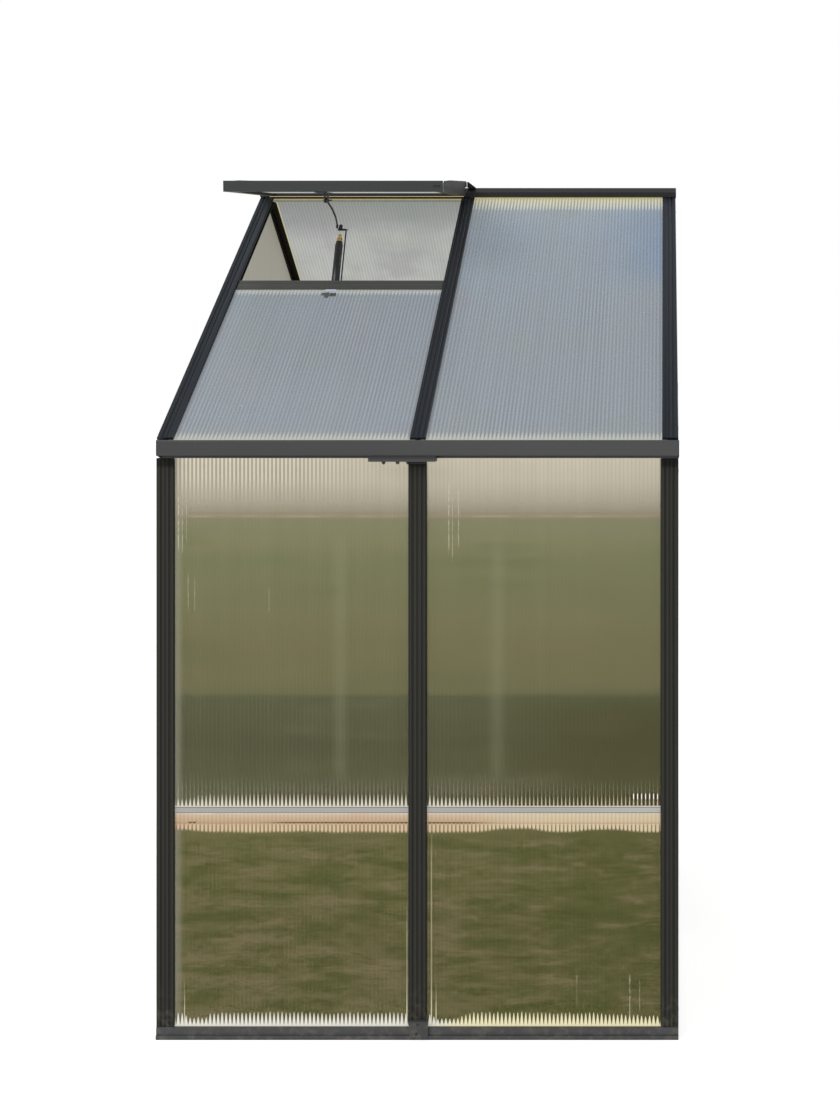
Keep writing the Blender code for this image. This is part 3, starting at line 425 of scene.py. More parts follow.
class Sheet(Graph):
    """Shared pattern of the fluted sheets: u runs across the flutes."""

    def __init__(self, name, across):
        super().__init__(name)
        self.u = self.y if across == "y" else self.x
        cells = self.math("DIVIDE", self.u, FLUTE)
        self.cell = self.math("FLOOR", cells)
        # 0 in the middle of a flute, 1 at its ribs
        self.rib = self.mul(self.math("ABSOLUTE", self.sub(self.math("FRACT", cells), 0.5)), 2.0)
        self.random = self.white(self.cell)
        self.wave = self.math("COSINE", self.mul(self.u, 2 * math.pi / FLUTE))  # 1 at a rib

    def flame(self, distance, reach, spread=0.95, power=0.8, soft=0.22):
        """A tongue of light in every flute, from its cut end inwards. Distance runs
        from the end along the flutes, and reach is how far the tongue goes."""
        t = self.math("DIVIDE", distance, reach)
        t = self.math("SUBTRACT", 1.0, t, clamp=True)
        width = self.mul(self.math("POWER", t, power), spread)
        inside = self.math("MULTIPLY_ADD", self.sub(width, self.rib), 0.5 / soft, 0.5, clamp=True)
        return self.mul(inside, self.step(t, 0.0, 0.12))

    def stripe(self, colour, amount):
        """Lighter in the flutes and darker over the ribs, by a share of the colour."""
        return self.shade(colour, self.sub(1.0, self.mul(self.wave, amount)))


def wall_colour(g, joined):
    """The wall sheets' colour, painted as light and blurred scenery seen through them. joined
    is true for the front sheets, which meet at the joining strip and carry its tongues, teeth and dashes of light."""
    x = g.sub(g.x, MID_X)
    wobble = g.noise(g.vec(g.mul(g.u, 3.5), 0.0, g.mul(g.z, 3)), 1.6, 2.0)
    v = g.add(g.z, g.mul(g.sub(wobble, 0.5), 0.005))
    base = g.ramp(g.math("DIVIDE", v, TOP), [(z / TOP, c) for z, c in WALL_STOPS])
    low = g.step(g.z, 0.545, 0.540) if joined else g.step(g.z, 0.62, 0.50)
    drift = g.noise(g.vec(g.mul(g.u, 1.6), 1.1, g.mul(g.z, 9)), 1.7, 3.0, 0.55)
    above = g.mul(g.sub(1.0, low), g.step(g.z, 1.25, 1.22))
    base = g.mix(g.product(above, g.step(drift, 0.52, 0.72), 0.16), base, srgb(132, 124, 98))
    base = g.mix(g.product(above, g.step(drift, 0.48, 0.30), 0.22), base, srgb(88, 96, 66))
    if joined:           # the right bay is deeper in tone, more so to the right
        right = g.step(x, 0.05, 0.50)
        deep = g.mul(right, g.step(g.z, 0.86, 0.78))
        base = g.mix(g.mul(deep, 0.55), base, g.mix(low, srgb(74, 72, 46), srgb(80, 81, 46)))
    fray = g.noise(g.vec(g.mul(g.u, 30), 5.3, g.mul(g.z, 90)), 1.0, 2.0, 0.6)
    shift = g.mul(g.sub(fray, 0.5), 0.22)
    patch = g.noise(g.vec(g.mul(g.u, 3.4), 3.1, g.add(g.mul(g.z, 17), shift)), 1.9, 6.0, 0.62)
    tuft = g.noise(g.vec(g.mul(g.u, 19), 7.7, g.add(g.mul(g.z, 95), shift)), 1.8, 4.0, 0.66)
    deep_low = g.mul(low, g.step(g.z, 0.500, 0.470))
    base = g.mix(g.product(deep_low, g.step(patch, 0.50, 0.64), 0.62), base, srgb(118, 106, 80))
    base = g.mix(g.product(deep_low, g.step(patch, 0.51, 0.38), 0.66), base, srgb(74, 79, 44))
    base = g.mix(g.product(deep_low, g.step(tuft, 0.48, 0.36), 0.34), base, srgb(58, 62, 34))
    base = g.mix(g.product(deep_low, g.step(tuft, 0.54, 0.66), 0.26), base, srgb(122, 114, 88))
    upright = g.noise(g.vec(g.mul(g.u, 40), 1.3, g.mul(g.z, 1.0)), 1.0, 3.0, 0.6)
    level = g.noise(g.vec(g.mul(g.u, 3.2), 0.0, g.mul(g.z, 26)), 2.4, 4.0, 0.62)
    tone = g.add(g.mul(upright, 0.16), g.mul(g.mul(level, low), 0.10))
    tone = g.add(tone, 0.895)
    base = g.shade(base, tone)
    # stripes: strong in the pale band of the left bay, faint in the body
    left = g.step(x, -0.05, -0.36) if joined else 0.6
    high = g.step(g.z, 1.285, 1.375)
    amount = g.add(0.012, g.mul(high, g.add(0.045, g.mul(left, 0.28))))
    amount = g.sub(amount, g.mul(g.step(g.z, 0.835, 0.820), 0.045))
    base = g.stripe(base, amount)
    if not joined:
        return base
    # a row of soft dark spots and a rosy line where the pale band ends
    dots = g.product(g.bump_at(g.z, 1.2705, 0.0030), g.step(g.rib, 0.75, 0.30))
    base = g.mix(g.mul(dots, 0.28), base, srgb(104, 94, 76))
    rosy = g.mul(g.bump_at(g.z, 1.2625, 0.0028), g.step(g.noise(g.vec(g.mul(x, 9), 0, 0), 1.0), 0.42, 0.6))
    base = g.mix(g.mul(rosy, 0.45), base, srgb(188, 158, 136))
    # painted light along the edge beside the left post, and faint upright bands
    edge = g.step(x, -0.563, -0.588)
    base = g.mix(g.mul(edge, 0.50), base, srgb(158, 154, 138))
    band = g.add(g.bump_at(x, -0.188, 0.026), g.bump_at(x, 0.192, 0.030))
    band = g.mul(band, g.mul(g.step(g.z, 0.60, 0.66), g.step(g.z, 1.24, 1.16)))
    base = g.mix(g.mul(band, 0.16), base, srgb(150, 150, 124))
    # scratches that catch the light
    for at, half, z0, z1, much in (
            (-0.5795, 0.0012, 1.195, 1.300, 0.60), (-0.5700, 0.0010, 1.190, 1.270, 0.45),
            (-0.5600, 0.0009, 1.215, 1.290, 0.35), (0.0750, 0.0011, 1.195, 1.330, 0.50),
            (0.0840, 0.0008, 1.165, 1.300, 0.40), (0.0985, 0.0009, 1.200, 1.315, 0.45),
            (-0.5560, 0.0007, 1.050, 1.120, 0.45), (-0.5400, 0.0007, 1.040, 1.100, 0.40),
            (-0.3600, 0.0008, 1.030, 1.080, 0.30), (0.5130, 0.0010, 0.060, 0.140, 0.55),
            (0.5370, 0.0008, 0.080, 0.125, 0.45), (0.3850, 0.0008, 0.090, 0.150, 0.30)):
        line = g.mul(g.bump_at(x, at, half * 2), g.window(g.z, z0, z1, 0.02))
        line = g.mul(line, g.step(g.noise(g.vec(0, 0, g.mul(g.z, 60)), 1.0, 2.0), 0.36, 0.56))
        base = g.mix(g.mul(line, much), base, srgb(216, 210, 188))
    return base


def wall_ends(g, base, joined):
    """Light in the flutes' cut ends: tongues over the base rail and the joining strip,
    and the pale band with its teeth and dashes below the strip."""
    x = g.sub(g.x, MID_X)
    along = g.noise(g.vec(g.mul(g.u, 7), 0, 0), 1.0, 2.0)
    jitter = g.mul(g.sub(g.random, 0.5), 0.004)
    gap = srgb(74, 64, 44)
    if joined:
        # how high the tongues stand: short beside the posts, then even
        reach = g.add(0.0310, g.mul(g.sub(along, 0.5), 0.012))
        reach = g.sub(reach, g.mul(g.window(x, -0.545, -0.520, 0.028), 0.0130))
        reach = g.sub(reach, g.mul(g.window(x, 0.056, 0.088, 0.045), 0.0150))
        reach = g.sub(reach, g.mul(g.step(x, 0.40, 0.56), 0.008))
        reach = g.add(reach, jitter)
        cream = g.mix(g.step(x, 0.02, 0.12), srgb(232, 229, 219), srgb(238, 231, 194))
    else:
        reach = g.add(g.add(0.026, g.mul(g.sub(along, 0.5), 0.014)), jitter)
        cream = srgb(238, 234, 218)
    up = g.sub(g.z, BASE_H)
    shadow = g.product(g.step(up, 0.034, 0.012), g.step(g.rib, 0.35, 0.85))
    tall = g.step(reach, 0.018, 0.028)
    base = g.mix(g.product(shadow, tall, 0.75), base, gap)
    bright = g.flame(g.sub(up, 0.0030), reach, 0.92, 0.9, 0.20)
    bright = g.top(bright, g.mul(g.step(up, 0.0075, 0.0040), 0.9))
    base = g.mix(bright, base, cream)
    if not joined:
        return base, bright
    for at, half, z1, much in ((0.0329, 0.0015, 0.470, 0.36), (-0.0265, 0.0014, 0.300, 0.36),
                               (-0.5645, 0.0010, 0.095, 0.75), (0.0442, 0.0014, 0.085, 0.80)):
        line = g.mul(g.bump_at(x, at, half * 1.5), g.step(g.z, z1 + 0.06, z1 - 0.06))
        line = g.mul(line, g.step(g.z, JOIN_LO, JOIN_LO - 0.002))
        much_here = g.add(much, g.mul(g.step(g.z, 0.16, 0.04), 0.97 - much))
        base = g.mix(g.mul(line, much_here), base, srgb(226, 221, 196))
    # above the joining strip: painted shade over the ribs, then tongues of light
    over = g.step(g.z, JOIN_HI - 0.004, JOIN_HI)
    up = g.sub(g.z, JOIN_HI - 0.0012)
    thin = g.step(x, 0.06, 0.30)
    reach = g.add(g.sub(0.031, g.mul(g.step(x, -0.50, -0.575), 0.011)), g.mul(g.sub(along, 0.5), 0.012))
    reach = g.add(g.sub(reach, g.mul(g.step(x, 0.0, 0.08), 0.007)), jitter)
    dark = g.product(over, g.step(up, 0.046, 0.014), g.step(g.rib, 0.30, 0.80))
    dark = g.mul(dark, g.step(x, -0.56, -0.36))
    base = g.mix(g.mul(dark, 0.70), base, srgb(62, 54, 38))
    wide = g.mul(g.flame(up, reach, 0.68, 1.15, 0.20), 0.84)
    fine = g.flame(up, g.add(reach, 0.002), 0.38, 0.9, 0.16)
    tongue = g.add(g.mul(wide, g.sub(1.0, thin)), g.mul(fine, g.mul(thin, 0.72)))
    tail = g.product(g.step(g.rib, 0.34, 0.10), g.step(up, 0.090, 0.025), 0.16)
    tongue = g.mul(g.top(tongue, tail), over)
    base = g.mix(tongue, base, g.mix(thin, srgb(232, 227, 212), srgb(214, 208, 178)))
    bars = g.product(g.window(g.z, 0.5795, 0.5895, 0.003), g.window(x, 0.520, 0.585, 0.008))
    base = g.mix(g.product(bars, g.step(g.rib, 0.40, 0.75), 0.85), base, srgb(52, 32, 20))
    base = g.mix(g.product(bars, g.step(g.rib, 0.34, 0.14), 0.9), base, srgb(255, 250, 236))
    # below it: the pale band, whose lower edge steps flute by flute
    foot = g.noise(g.vec(g.mul(g.u, 9), 2.0, 0), 1.0, 1.0)
    foot = g.add(0.4935, g.mul(foot, 0.010))
    foot = g.add(foot, g.mul(g.window(x, 0.22, 0.26, 0.09), 0.008))
    foot = g.add(foot, g.mul(g.window(x, 0.44, 0.48, 0.08), 0.006))
    foot = g.add(foot, g.mul(g.step(x, -0.48, -0.58), 0.006))
    foot = g.add(foot, g.mul(g.math("POWER", g.rib, 3.0), 0.0045))
    inside = g.math("MULTIPLY_ADD", g.sub(g.z, foot), 150.0, 0.5, clamp=True)
    inside = g.mul(inside, g.step(g.z, JOIN_LO + 0.001, JOIN_LO - 0.0005))
    # painted light in the flutes' cut ends below the strip
    pale_band = g.ramp(g.math("DIVIDE", g.sub(g.z, 0.48), 0.07),
                   [(0.0, srgb(190, 172, 134)), (0.30, srgb(208, 184, 150)),
                    (0.48, srgb(206, 182, 150)), (0.60, srgb(186, 160, 130)),
                    (0.72, srgb(196, 170, 140)), (0.86, srgb(206, 184, 158)),
                    (0.895, srgb(216, 206, 190)), (0.92, srgb(232, 226, 214))])
    rosy = g.step(g.noise(g.vec(g.mul(x, 5.5), 5.0, 0), 1.0, 2.0), 0.46, 0.62)
    pale_band = g.mix(g.mul(rosy, g.mul(g.step(x, 0.0, -0.1), 0.35)), pale_band, srgb(198, 160, 130))
    pale_band = g.mix(g.mul(g.step(x, 0.06, 0.30), 0.55), pale_band, srgb(218, 204, 172))
    pale_band = g.shade(g.mix(0.12, g.stripe(pale_band, 0.10), srgb(176, 166, 156)), 0.96)
    teeth = g.mul(g.step(g.rib, 0.48, 0.88), g.step(g.z, 0.5200, 0.5120))
    pale_band = g.mix(g.mul(teeth, 0.70), pale_band, srgb(104, 84, 50))
    base = g.mix(inside, base, pale_band)
    run = g.top(g.window(x, -0.30, 0.105, 0.10), g.window(x, -0.553, -0.538, 0.006))
    dash = g.mul(g.bump_at(g.z, dash_row(g, x), 0.0032), g.step(g.rib, 0.92, 0.60))
    base = g.mix(g.math("MULTIPLY", g.product(dash, run), 1.3, clamp=True), base, srgb(92, 62, 36))
    faint = g.product(g.bump_at(g.z, 0.5200, 0.0026), g.sub(1.0, run), 0.45)
    base = g.mix(faint, base, srgb(150, 120, 84))
    return base, g.top(g.mul(bright, 1.0), g.mul(tongue, 0.6))


def dash_row(g, x):
    """Height of the row of dashes, which dips a little to the right."""
    return g.sub(0.5208, g.mul(x, 0.0012))


def sheet_surface(g, base, share, rough=0.42, spec=0.2):
    """Translucent plastic: part of its colour is a painted glow, standing in for light that comes through it."""
    n = g.surface(Base_Color=g.shade(base, 1 - share), Roughness=rough, Specular_IOR_Level=spec)
    g.plug(n.inputs["Emission Color"], g.shade(base, share))
    n.inputs["Emission Strength"].default_value = 1.0
    return n


SKIN_ALPHA = 0.62
SHARE = 0.34               # share of a sheet's light that comes through it
HAZE = 0.017               # reflected light, taken off the colour below it


def wall_set(name, across, joined=False):
    """Materials of one wall's sheets: (skin between the ribs, ribs, inside, outer skin)."""
    made = []
    for part in ("flutes", "ribs", "inside", "skin"):
        g = Sheet(f"{name}_{part}", across)
        base = wall_colour(g, joined)
        if part == "inside":
            base = g.stripe(base, 0.13)
            sheet_surface(g, base, 0.5)
        else:
            base, bright = wall_ends(g, base, joined)
            base = g.shade(g.minus(base, HAZE), GAIN)
            if part == "flutes":
                sheet_surface(g, base, SHARE)
            elif part == "ribs":
                sheet_surface(g, g.mix(0.25, base, srgb(168, 164, 142)), SHARE)
            else:
                scuff = g.noise(g.p, 70, 3.0, 0.6)
                n = sheet_surface(g, base, SHARE, g.add(0.20, g.mul(scuff, 0.10)), 0.28)
                n.inputs["Alpha"].default_value = SKIN_ALPHA
        made.append(g.mat)
    return made


# Colours down a roof sheet, from the eave to the ridge: painted reflected sky and light through the sheet.
ROOF_STOPS = [
    (1.430, srgb(166, 166, 160)), (1.452, srgb(156, 158, 158)), (1.480, srgb(149, 154, 160)),
    (1.700, srgb(147, 153, 159)), (1.900, srgb(147, 155, 163)), (2.040, srgb(150, 159, 169)),
    (2.082, srgb(156, 163, 170)), (2.104, srgb(162, 168, 172)), (2.120, srgb(176, 178, 168)),
    (2.140, srgb(190, 188, 166)),
]
# The roof sheets' inner face, painted as lit through the sheet from outside.
INNER_STOPS = [
    (1.430, srgb(206, 204, 194)), (1.800, srgb(200, 201, 194)), (1.950, srgb(191, 193, 189)),
    (2.040, srgb(188, 190, 187)), (2.080, srgb(164, 168, 166)), (2.118, srgb(152, 156, 154)),
    (2.1285, srgb(150, 152, 144)), (2.1300, srgb(206, 200, 164)), (2.1500, srgb(206, 200, 164)),
]


def roof_colour(g, stops):
    base = g.ramp(g.math("DIVIDE", g.sub(g.z, 1.42), 0.74),
                  [((z - 1.42) / 0.74, c) for z, c in stops])
    cloud = g.noise(g.vec(g.mul(g.x, 3.4), g.mul(g.y, 2.2), 0), 1.5, 4.0, 0.6)
    hue = g.noise(g.vec(g.mul(g.x, 2.2), g.mul(g.y, 2.8), 4.0), 2.1, 3.0, 0.6)
    base = g.mix(g.mul(g.step(cloud, 0.42, 0.68), 0.35), base, srgb(152, 154, 152))
    base = g.mix(g.mul(g.step(hue, 0.52, 0.72), 0.30), base, srgb(150, 146, 158))
    base = g.mix(g.mul(g.step(hue, 0.46, 0.28), 0.30), base, srgb(142, 154, 152))
    # painted reflected sky: a bluer patch on the right
    blue = g.product(g.step(g.x, MID_X + 0.36, MID_X + 0.60), g.window(g.z, 1.93, 2.06, 0.12))
    base = g.mix(g.mul(blue, 0.45), base, srgb(118, 140, 168))
    streak = g.noise(g.vec(g.mul(g.x, 46), g.mul(g.y, 0.7), 0), 1.0, 3.0, 0.6)
    speck = g.noise(g.vec(g.x, g.mul(g.y, 0.5), 0), 250, 2.0, 0.6)
    return g.shade(base, g.add(0.885, g.add(g.mul(streak, 0.13), g.mul(speck, 0.10))))


def roof_set(name, ends=(), top_glow=True, left_edge=None):
    """Materials of a roof sheet. ends are (height, +1 up or -1 down, reach) of cut ends
    that show tongues of light."""
    made = []
    for part in ("flutes", "ribs", "inside", "skin"):
        g = Sheet(f"{name}_{part}", "x")
        stops = INNER_STOPS if part == "inside" else ROOF_STOPS
        if not top_glow:
            stops = [s for s in stops if s[0] < 2.05]
        base = roof_colour(g, stops)
        if part == "inside":
            base = g.stripe(base, 0.095)
            if left_edge is not None:
                line = g.step(g.sub(g.x, left_edge), 0.0055, 0.0035)
                base = g.mix(g.mul(line, 0.75), base, srgb(206, 200, 156))
            sheet_surface(g, base, 0.80)
            made.append(g.mat)
            continue
        ripple = g.noise(g.vec(g.mul(g.x, 5.5), g.mul(g.y, 2.0), 9.0), 1.0, 2.0)
        base = g.stripe(base, g.add(0.135, g.mul(g.step(ripple, 0.46, 0.66), 0.060)))
        if top_glow:
            down = g.sub(2.1440, g.z)
            t = g.flame(down, 0.050, 0.95, 0.6, 0.30)
            base = g.mix(g.mul(t, 0.62), base, srgb(238, 234, 206))
            # painted shade over the ribs between the tongues of light
            between = g.product(g.step(down, 0.030, 0.006), g.step(g.rib, 0.45, 0.90))
            base = g.mix(g.mul(between, 0.45), base, srgb(150, 148, 112))
        for z, way, reach in ends:
            t = g.flame(g.mul(g.sub(g.z, z), way), reach, 0.95, 0.8, 0.25)
            base = g.mix(g.mul(t, 0.42), base, srgb(222, 220, 204))
        # painted glints: sparse bright dots
        sparkle = g.node("ShaderNodeTexVoronoi", {"feature": "F1"}, Vector=g.p, Scale=26.0)
        dot = g.product(g.step(sparkle.outputs["Distance"], 0.055, 0.030),
                        g.step(g.node("ShaderNodeSeparateColor", Color=sparkle.outputs["Color"]).outputs[0], 0.90, 0.93))
        base = g.mix(g.mul(dot, 0.8), base, srgb(232, 214, 196))
        base = g.shade(g.minus(base, HAZE), GAIN)
        if part == "flutes":
            sheet_surface(g, base, SHARE)
        elif part == "ribs":
            sheet_surface(g, g.mix(0.25, base, srgb(182, 182, 176)), SHARE)
        else:
            scuff = g.noise(g.p, 60, 3.0, 0.6)
            n = sheet_surface(g, base, SHARE, g.add(0.22, g.mul(scuff, 0.10)), 0.28)
            n.inputs["Alpha"].default_value = SKIN_ALPHA
        made.append(g.mat)
    return made


# ------------------------------------------------------------------ mesh making
def finish_mesh(name, bm, mats, body, stands_for=(), smooth=35.0, weld=0.0):
    if weld:
        bmesh.ops.remove_doubles(bm, verts=bm.verts, dist=weld)
    bmesh.ops.recalc_face_normals(bm, faces=bm.faces)
    mesh = bpy.data.meshes.new(name)
    bm.to_mesh(mesh)
    bm.free()
    for m in mats if isinstance(mats, (list, tuple)) else [mats]:
        mesh.materials.append(m)
    if smooth:
        mesh.shade_smooth()
        mesh.set_sharp_from_angle(angle=math.radians(smooth))
    obj = bpy.data.objects.new(name, mesh)
    bpy.context.scene.collection.objects.link(obj)
    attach(obj, body)
    if stands_for:
        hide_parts(*stands_for)
    return obj


def quad(bm, *verts, mat=0):
    try:
        f = bm.faces.new(verts)
    except ValueError:
        return None
    f.material_index = mat
    return f


def sheet_core(bm, place, edges, low, high, half):
    """Inner skin and the ribs that stand on it, one closed body. edges are the
    rib intervals across the sheet."""
    cuts = sorted({u for e in edges for u in e})
    w0, w1, w2 = -half, -half + BACK, half - SKIN - 0.00005
    def row(end, w):
        f = high if end else low
        return [bm.verts.new(place(u, f(u), w)) for u in cuts]
    a0, a1, a2 = row(0, w0), row(0, w1), row(0, w2)
    b0, b1, b2 = row(1, w0), row(1, w1), row(1, w2)
    is_rib = [any(abs(u - e[0]) < 1e-7 for e in edges) for u in cuts[:-1]]
    for i in range(len(cuts) - 1):
        j = i + 1
        quad(bm, a0[i], a0[j], b0[j], b0[i], mat=2)
        quad(bm, a0[i], a0[j], a1[j], a1[i], mat=1)
        quad(bm, b0[i], b0[j], b1[j], b1[i], mat=1)
        if is_rib[i]:
            quad(bm, a1[i], a1[j], a2[j], a2[i], mat=1)
            quad(bm, b1[i], b1[j], b2[j], b2[i], mat=1)
            quad(bm, a2[i], a2[j], b2[j], b2[i], mat=1)
            quad(bm, a1[i], b1[i], b2[i], a2[i], mat=1)
            quad(bm, a1[j], b1[j], b2[j], a2[j], mat=1)
        else:
            quad(bm, a1[i], a1[j], b1[j], b1[i], mat=0)
    for k in (0, -1):
        quad(bm, a0[k], b0[k], b1[k], a1[k], mat=1)
    for v in [v for v in bm.verts if not v.link_faces]:
        bm.verts.remove(v)


def sheet_skin(bm, place, cuts, low, high, half):
    """Outer skin. It sinks a little over each rib, as the real sheet does."""
    def rows(end):
        f = high if end else low
        outer, inner = [], []
        for u in cuts:
            dip = 0.00005 * (1 + math.cos(2 * math.pi * u / FLUTE))
            outer.append(bm.verts.new(place(u, f(u), half - dip)))
            inner.append(bm.verts.new(place(u, f(u), half - SKIN)))
        return outer, inner
    (ao, ai), (bo, bi) = rows(0), rows(1)
    for i in range(len(cuts) - 1):
        j = i + 1
        quad(bm, ao[i], ao[j], bo[j], bo[i])
        quad(bm, ai[i], ai[j], bi[j], bi[i])
        quad(bm, ao[i], ao[j], ai[j], ai[i])
        quad(bm, bo[i], bo[j], bi[j], bi[i])
    for k in (0, -1):
        quad(bm, ao[k], bo[k], bi[k], ai[k])


def fluted_sheet(node, body, place, u0, u1, low, high, half, mats, extra=()):
    """Twin-wall sheet in place of a CAD sheet: a core with its ribs and a clear
    outer skin. Ribs stand on a shared grid, so the pattern follows them."""
    edges = [(u0, u0 + RIB)]
    k = math.ceil((u0 + 2.2 * RIB) / FLUTE)
    while k * FLUTE + 2.2 * RIB < u1:
        edges.append((k * FLUTE - RIB / 2, k * FLUTE + RIB / 2))
        k += 1
    edges.append((u1 - RIB, u1))
    for e in extra:      # where the outline bends, keep a rib off the bend
        edges = [r for r in edges if not r[0] - 0.002 < e < r[1] + 0.002]
        edges.append((e - RIB / 2, e))
    edges.sort()
    bm = bmesh.new()
    sheet_core(bm, place, edges, low, high, half)
    core = finish_mesh(f"{node}_flutes", bm, mats[:3], body, (node,), 0)
    bm = bmesh.new()
    steps = max(4, round((u1 - u0) / FLUTE * 4))
    cuts = sorted({u0 + (u1 - u0) * i / steps for i in range(steps + 1)} | set(extra))
    sheet_skin(bm, place, cuts, low, high, half)
    skin = finish_mesh(f"{node}_skin", bm, mats[3], body)
    return core, skin


def flat_sheet(node, body, mats, inward):
    """A rectangular CAD sheet, wherever it lies: its section across X gives its
    plane. inward is a point on its inner side."""
    pts = [v.co.copy() for v in nodes[node].data.vertices]
    x0, x1 = min(p.x for p in pts), max(p.x for p in pts)
    centre = sum(pts, Vector()) / len(pts)
    ends = max(((a - b) for a in pts for b in pts if abs(a.x - b.x) < 1e-6),
               key=lambda d: d.length)
    flat = {(round(p.y, 5), round(p.z, 5)) for p in pts}
    flat = [Vector((0, y, z)) for y, z in flat]
    sides = sorted(((a - b) for a in flat for b in flat if (a - b).length > 1e-4),
                   key=lambda d: d.length)
    thick = sides[0].length
    normal = sides[0].normalized()
    run = Vector((1, 0, 0)).cross(normal).normalized()
    if run.z < 0:
        run = -run
    if normal.dot(centre - Vector(inward)) < 0:
        normal = -normal
    length = max(abs((p - centre).dot(run)) for p in pts)
    mid = Vector((0, centre.y, centre.z))
    def place(u, v, w):
        return Vector((u, 0, 0)) + mid + run * v + normal * w
    return fluted_sheet(node, body, place, x0, x1, lambda u: -length, lambda u: length,
                        thick / 2, mats)


def gable_sheet(node, body, mats):
    """A gable sheet: upright flutes under the sloping rafter."""
    lo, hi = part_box(node)
    outer = 1 if lo.x > 0 else -1
    mid = (lo.x + hi.x) / 2
    half = (hi.x - lo.x) / 2
    pts = [v.co for v in nodes[node].data.vertices]
    lean = math.tan(PITCH)
    peak = max(p.z + abs(p.y) * lean for p in pts)
    corner = WALL_Y - 0.043
    def place(u, v, w):
        return Vector((mid + outer * w, u, v))
    def low(u):
        return lo.z if abs(u) <= corner else BASE_H + 0.001
    def high(u):
        top = peak - abs(u) * lean
        return top if abs(u) <= corner else min(top, 1.4030)
    ends = [s * corner for s in (-1, 1) if lo.y < s * corner < hi.y]
    extra = list(ends)
    for s in (-1, 1):
        if lo.y < s * corner < hi.y:
            extra.append(s * (corner + 0.0004))
    if lo.y < 0 < hi.y:
        extra.append(0.0)
    def low_(u):
        return low(u)
    # the outline steps in behind the corner post; the step is a short slant
    edges = [(lo.y, lo.y + RIB)]
    k = math.ceil((lo.y + 2.2 * RIB) / FLUTE)
    while k * FLUTE + 2.2 * RIB < hi.y:
        edges.append((k * FLUTE - RIB / 2, k * FLUTE + RIB / 2))
        k += 1
    edges.append((hi.y - RIB, hi.y))
    for s in (-1, 1):
        if lo.y < s * corner < hi.y:
            edges = [r for r in edges if not (r[0] - 0.0015 < s * corner < r[1] + 0.0015)]
            a, b = sorted((s * corner, s * (corner + 0.0004)))
            edges.append((a, b))
    if lo.y < 0 < hi.y:
        edges = [r for r in edges if not r[0] - 0.002 < 0 < r[1] + 0.002]
        edges += [(-RIB / 2, 0.0), (0.0, RIB / 2)]
    edges.sort()
    bm = bmesh.new()
    sheet_core(bm, place, edges, low, high, half)
    finish_mesh(f"{node}_flutes", bm, mats[:3], body, (node,), 0)
    bm = bmesh.new()
    steps = max(4, round((hi.y - lo.y) / FLUTE * 4))
    cuts = sorted({lo.y + (hi.y - lo.y) * i / steps for i in range(steps + 1)} | set(extra))
    sheet_skin(bm, place, cuts, low, high, half)
    finish_mesh(f"{node}_skin", bm, mats[3], body)


front = wall_set("front_wall", "x", joined=True)
rear = wall_set("rear_wall", "x")
gable = wall_set("gable", "y")
inside_point = (0.0, 0.0, 1.0)
for column in ("left", "right"):
    for row in ("lower", "upper"):
        flat_sheet(f"front_sheet_{column}_{row}", "frame", front, inside_point)
    flat_sheet(f"rear_sheet_{column}", "frame", rear, inside_point)
sill_lo, sill_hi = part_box("vent_sill")
roof_low = roof_set("roof_lower_left", ((sill_lo.z + 0.0035, -1, 0.010), (1.450, 1, 0.015)), False)
roof_full = roof_set("roof_full", ((1.450, 1, 0.015),))
roof_behind = roof_set("roof_behind", ((1.450, 1, 0.015),), True, LEFT_X + 0.039)
vent_mats = roof_set("vent_pane", (), False)
flat_sheet("roof_sheet_front_left", "frame", roof_low, inside_point)
for node in ("roof_sheet_front_right", "roof_sheet_rear_right"):
    flat_sheet(node, "frame", roof_full, inside_point)
flat_sheet("roof_sheet_rear_left", "frame", roof_behind, inside_point)
flat_sheet("vent_glazing", "vent", vent_mats, inside_point)
for node in ("left_gable_sheet_front", "left_gable_sheet_middle", "left_gable_sheet_rear",
             "right_gable_sheet_front", "right_gable_sheet_rear", "right_gable_sheet_over_door"):
    gable_sheet(node, "frame", gable)
door_lo, door_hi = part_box("door_glazing")


def door_sheet():
    mid, half = (door_lo.x + door_hi.x) / 2, (door_hi.x - door_lo.x) / 2
    def place(u, v, w):
        return Vector((mid + w, u, v))
    fluted_sheet("door_glazing", "door", place, door_lo.y, door_hi.y,
                 lambda u: door_lo.z, lambda u: door_hi.z, half, gable)


door_sheet()

# ---------------------------------------------------------- bars kept from the CAD
def dress(names, mat, bevel=0.0003):
    for name in names:
        obj = nodes[name]
        obj.data.materials.clear()
        obj.data.materials.append(mat)
        if bevel:
            weld = obj.modifiers.new("weld", "WELD")
            weld.merge_threshold = 0.00002
            edge = obj.modifiers.new("edges", "BEVEL")
            edge.width = bevel
            edge.segments = 2
            edge.limit_method = "ANGLE"
            edge.angle_limit = math.radians(25)
            edge.harden_normals = False


dress(["post_front_center", "post_rear_center"], M_POST)
dress(["post_front_left", "post_rear_left"], M_POST_L)
dress(["post_front_right", "post_rear_right"], M_POST_R)
dress([n for n in nodes if n.startswith("gable_stud") or n.startswith("door_jamb")], M_STUD)
dress(["rafter_front_center"], M_RAFTER_F)
dress(["rafter_rear_center"], M_RAFTER_R)
dress(["rafter_front_left"], M_RAFTER_FL)
dress(["rafter_front_right"], M_RAFTER_FR)
dress(["rafter_rear_left"], M_RAFTER_RL)
dress(["rafter_rear_right"], M_RAFTER_RR)
dress(["base_rail_front", "base_rail_rear"], M_RAIL_X)
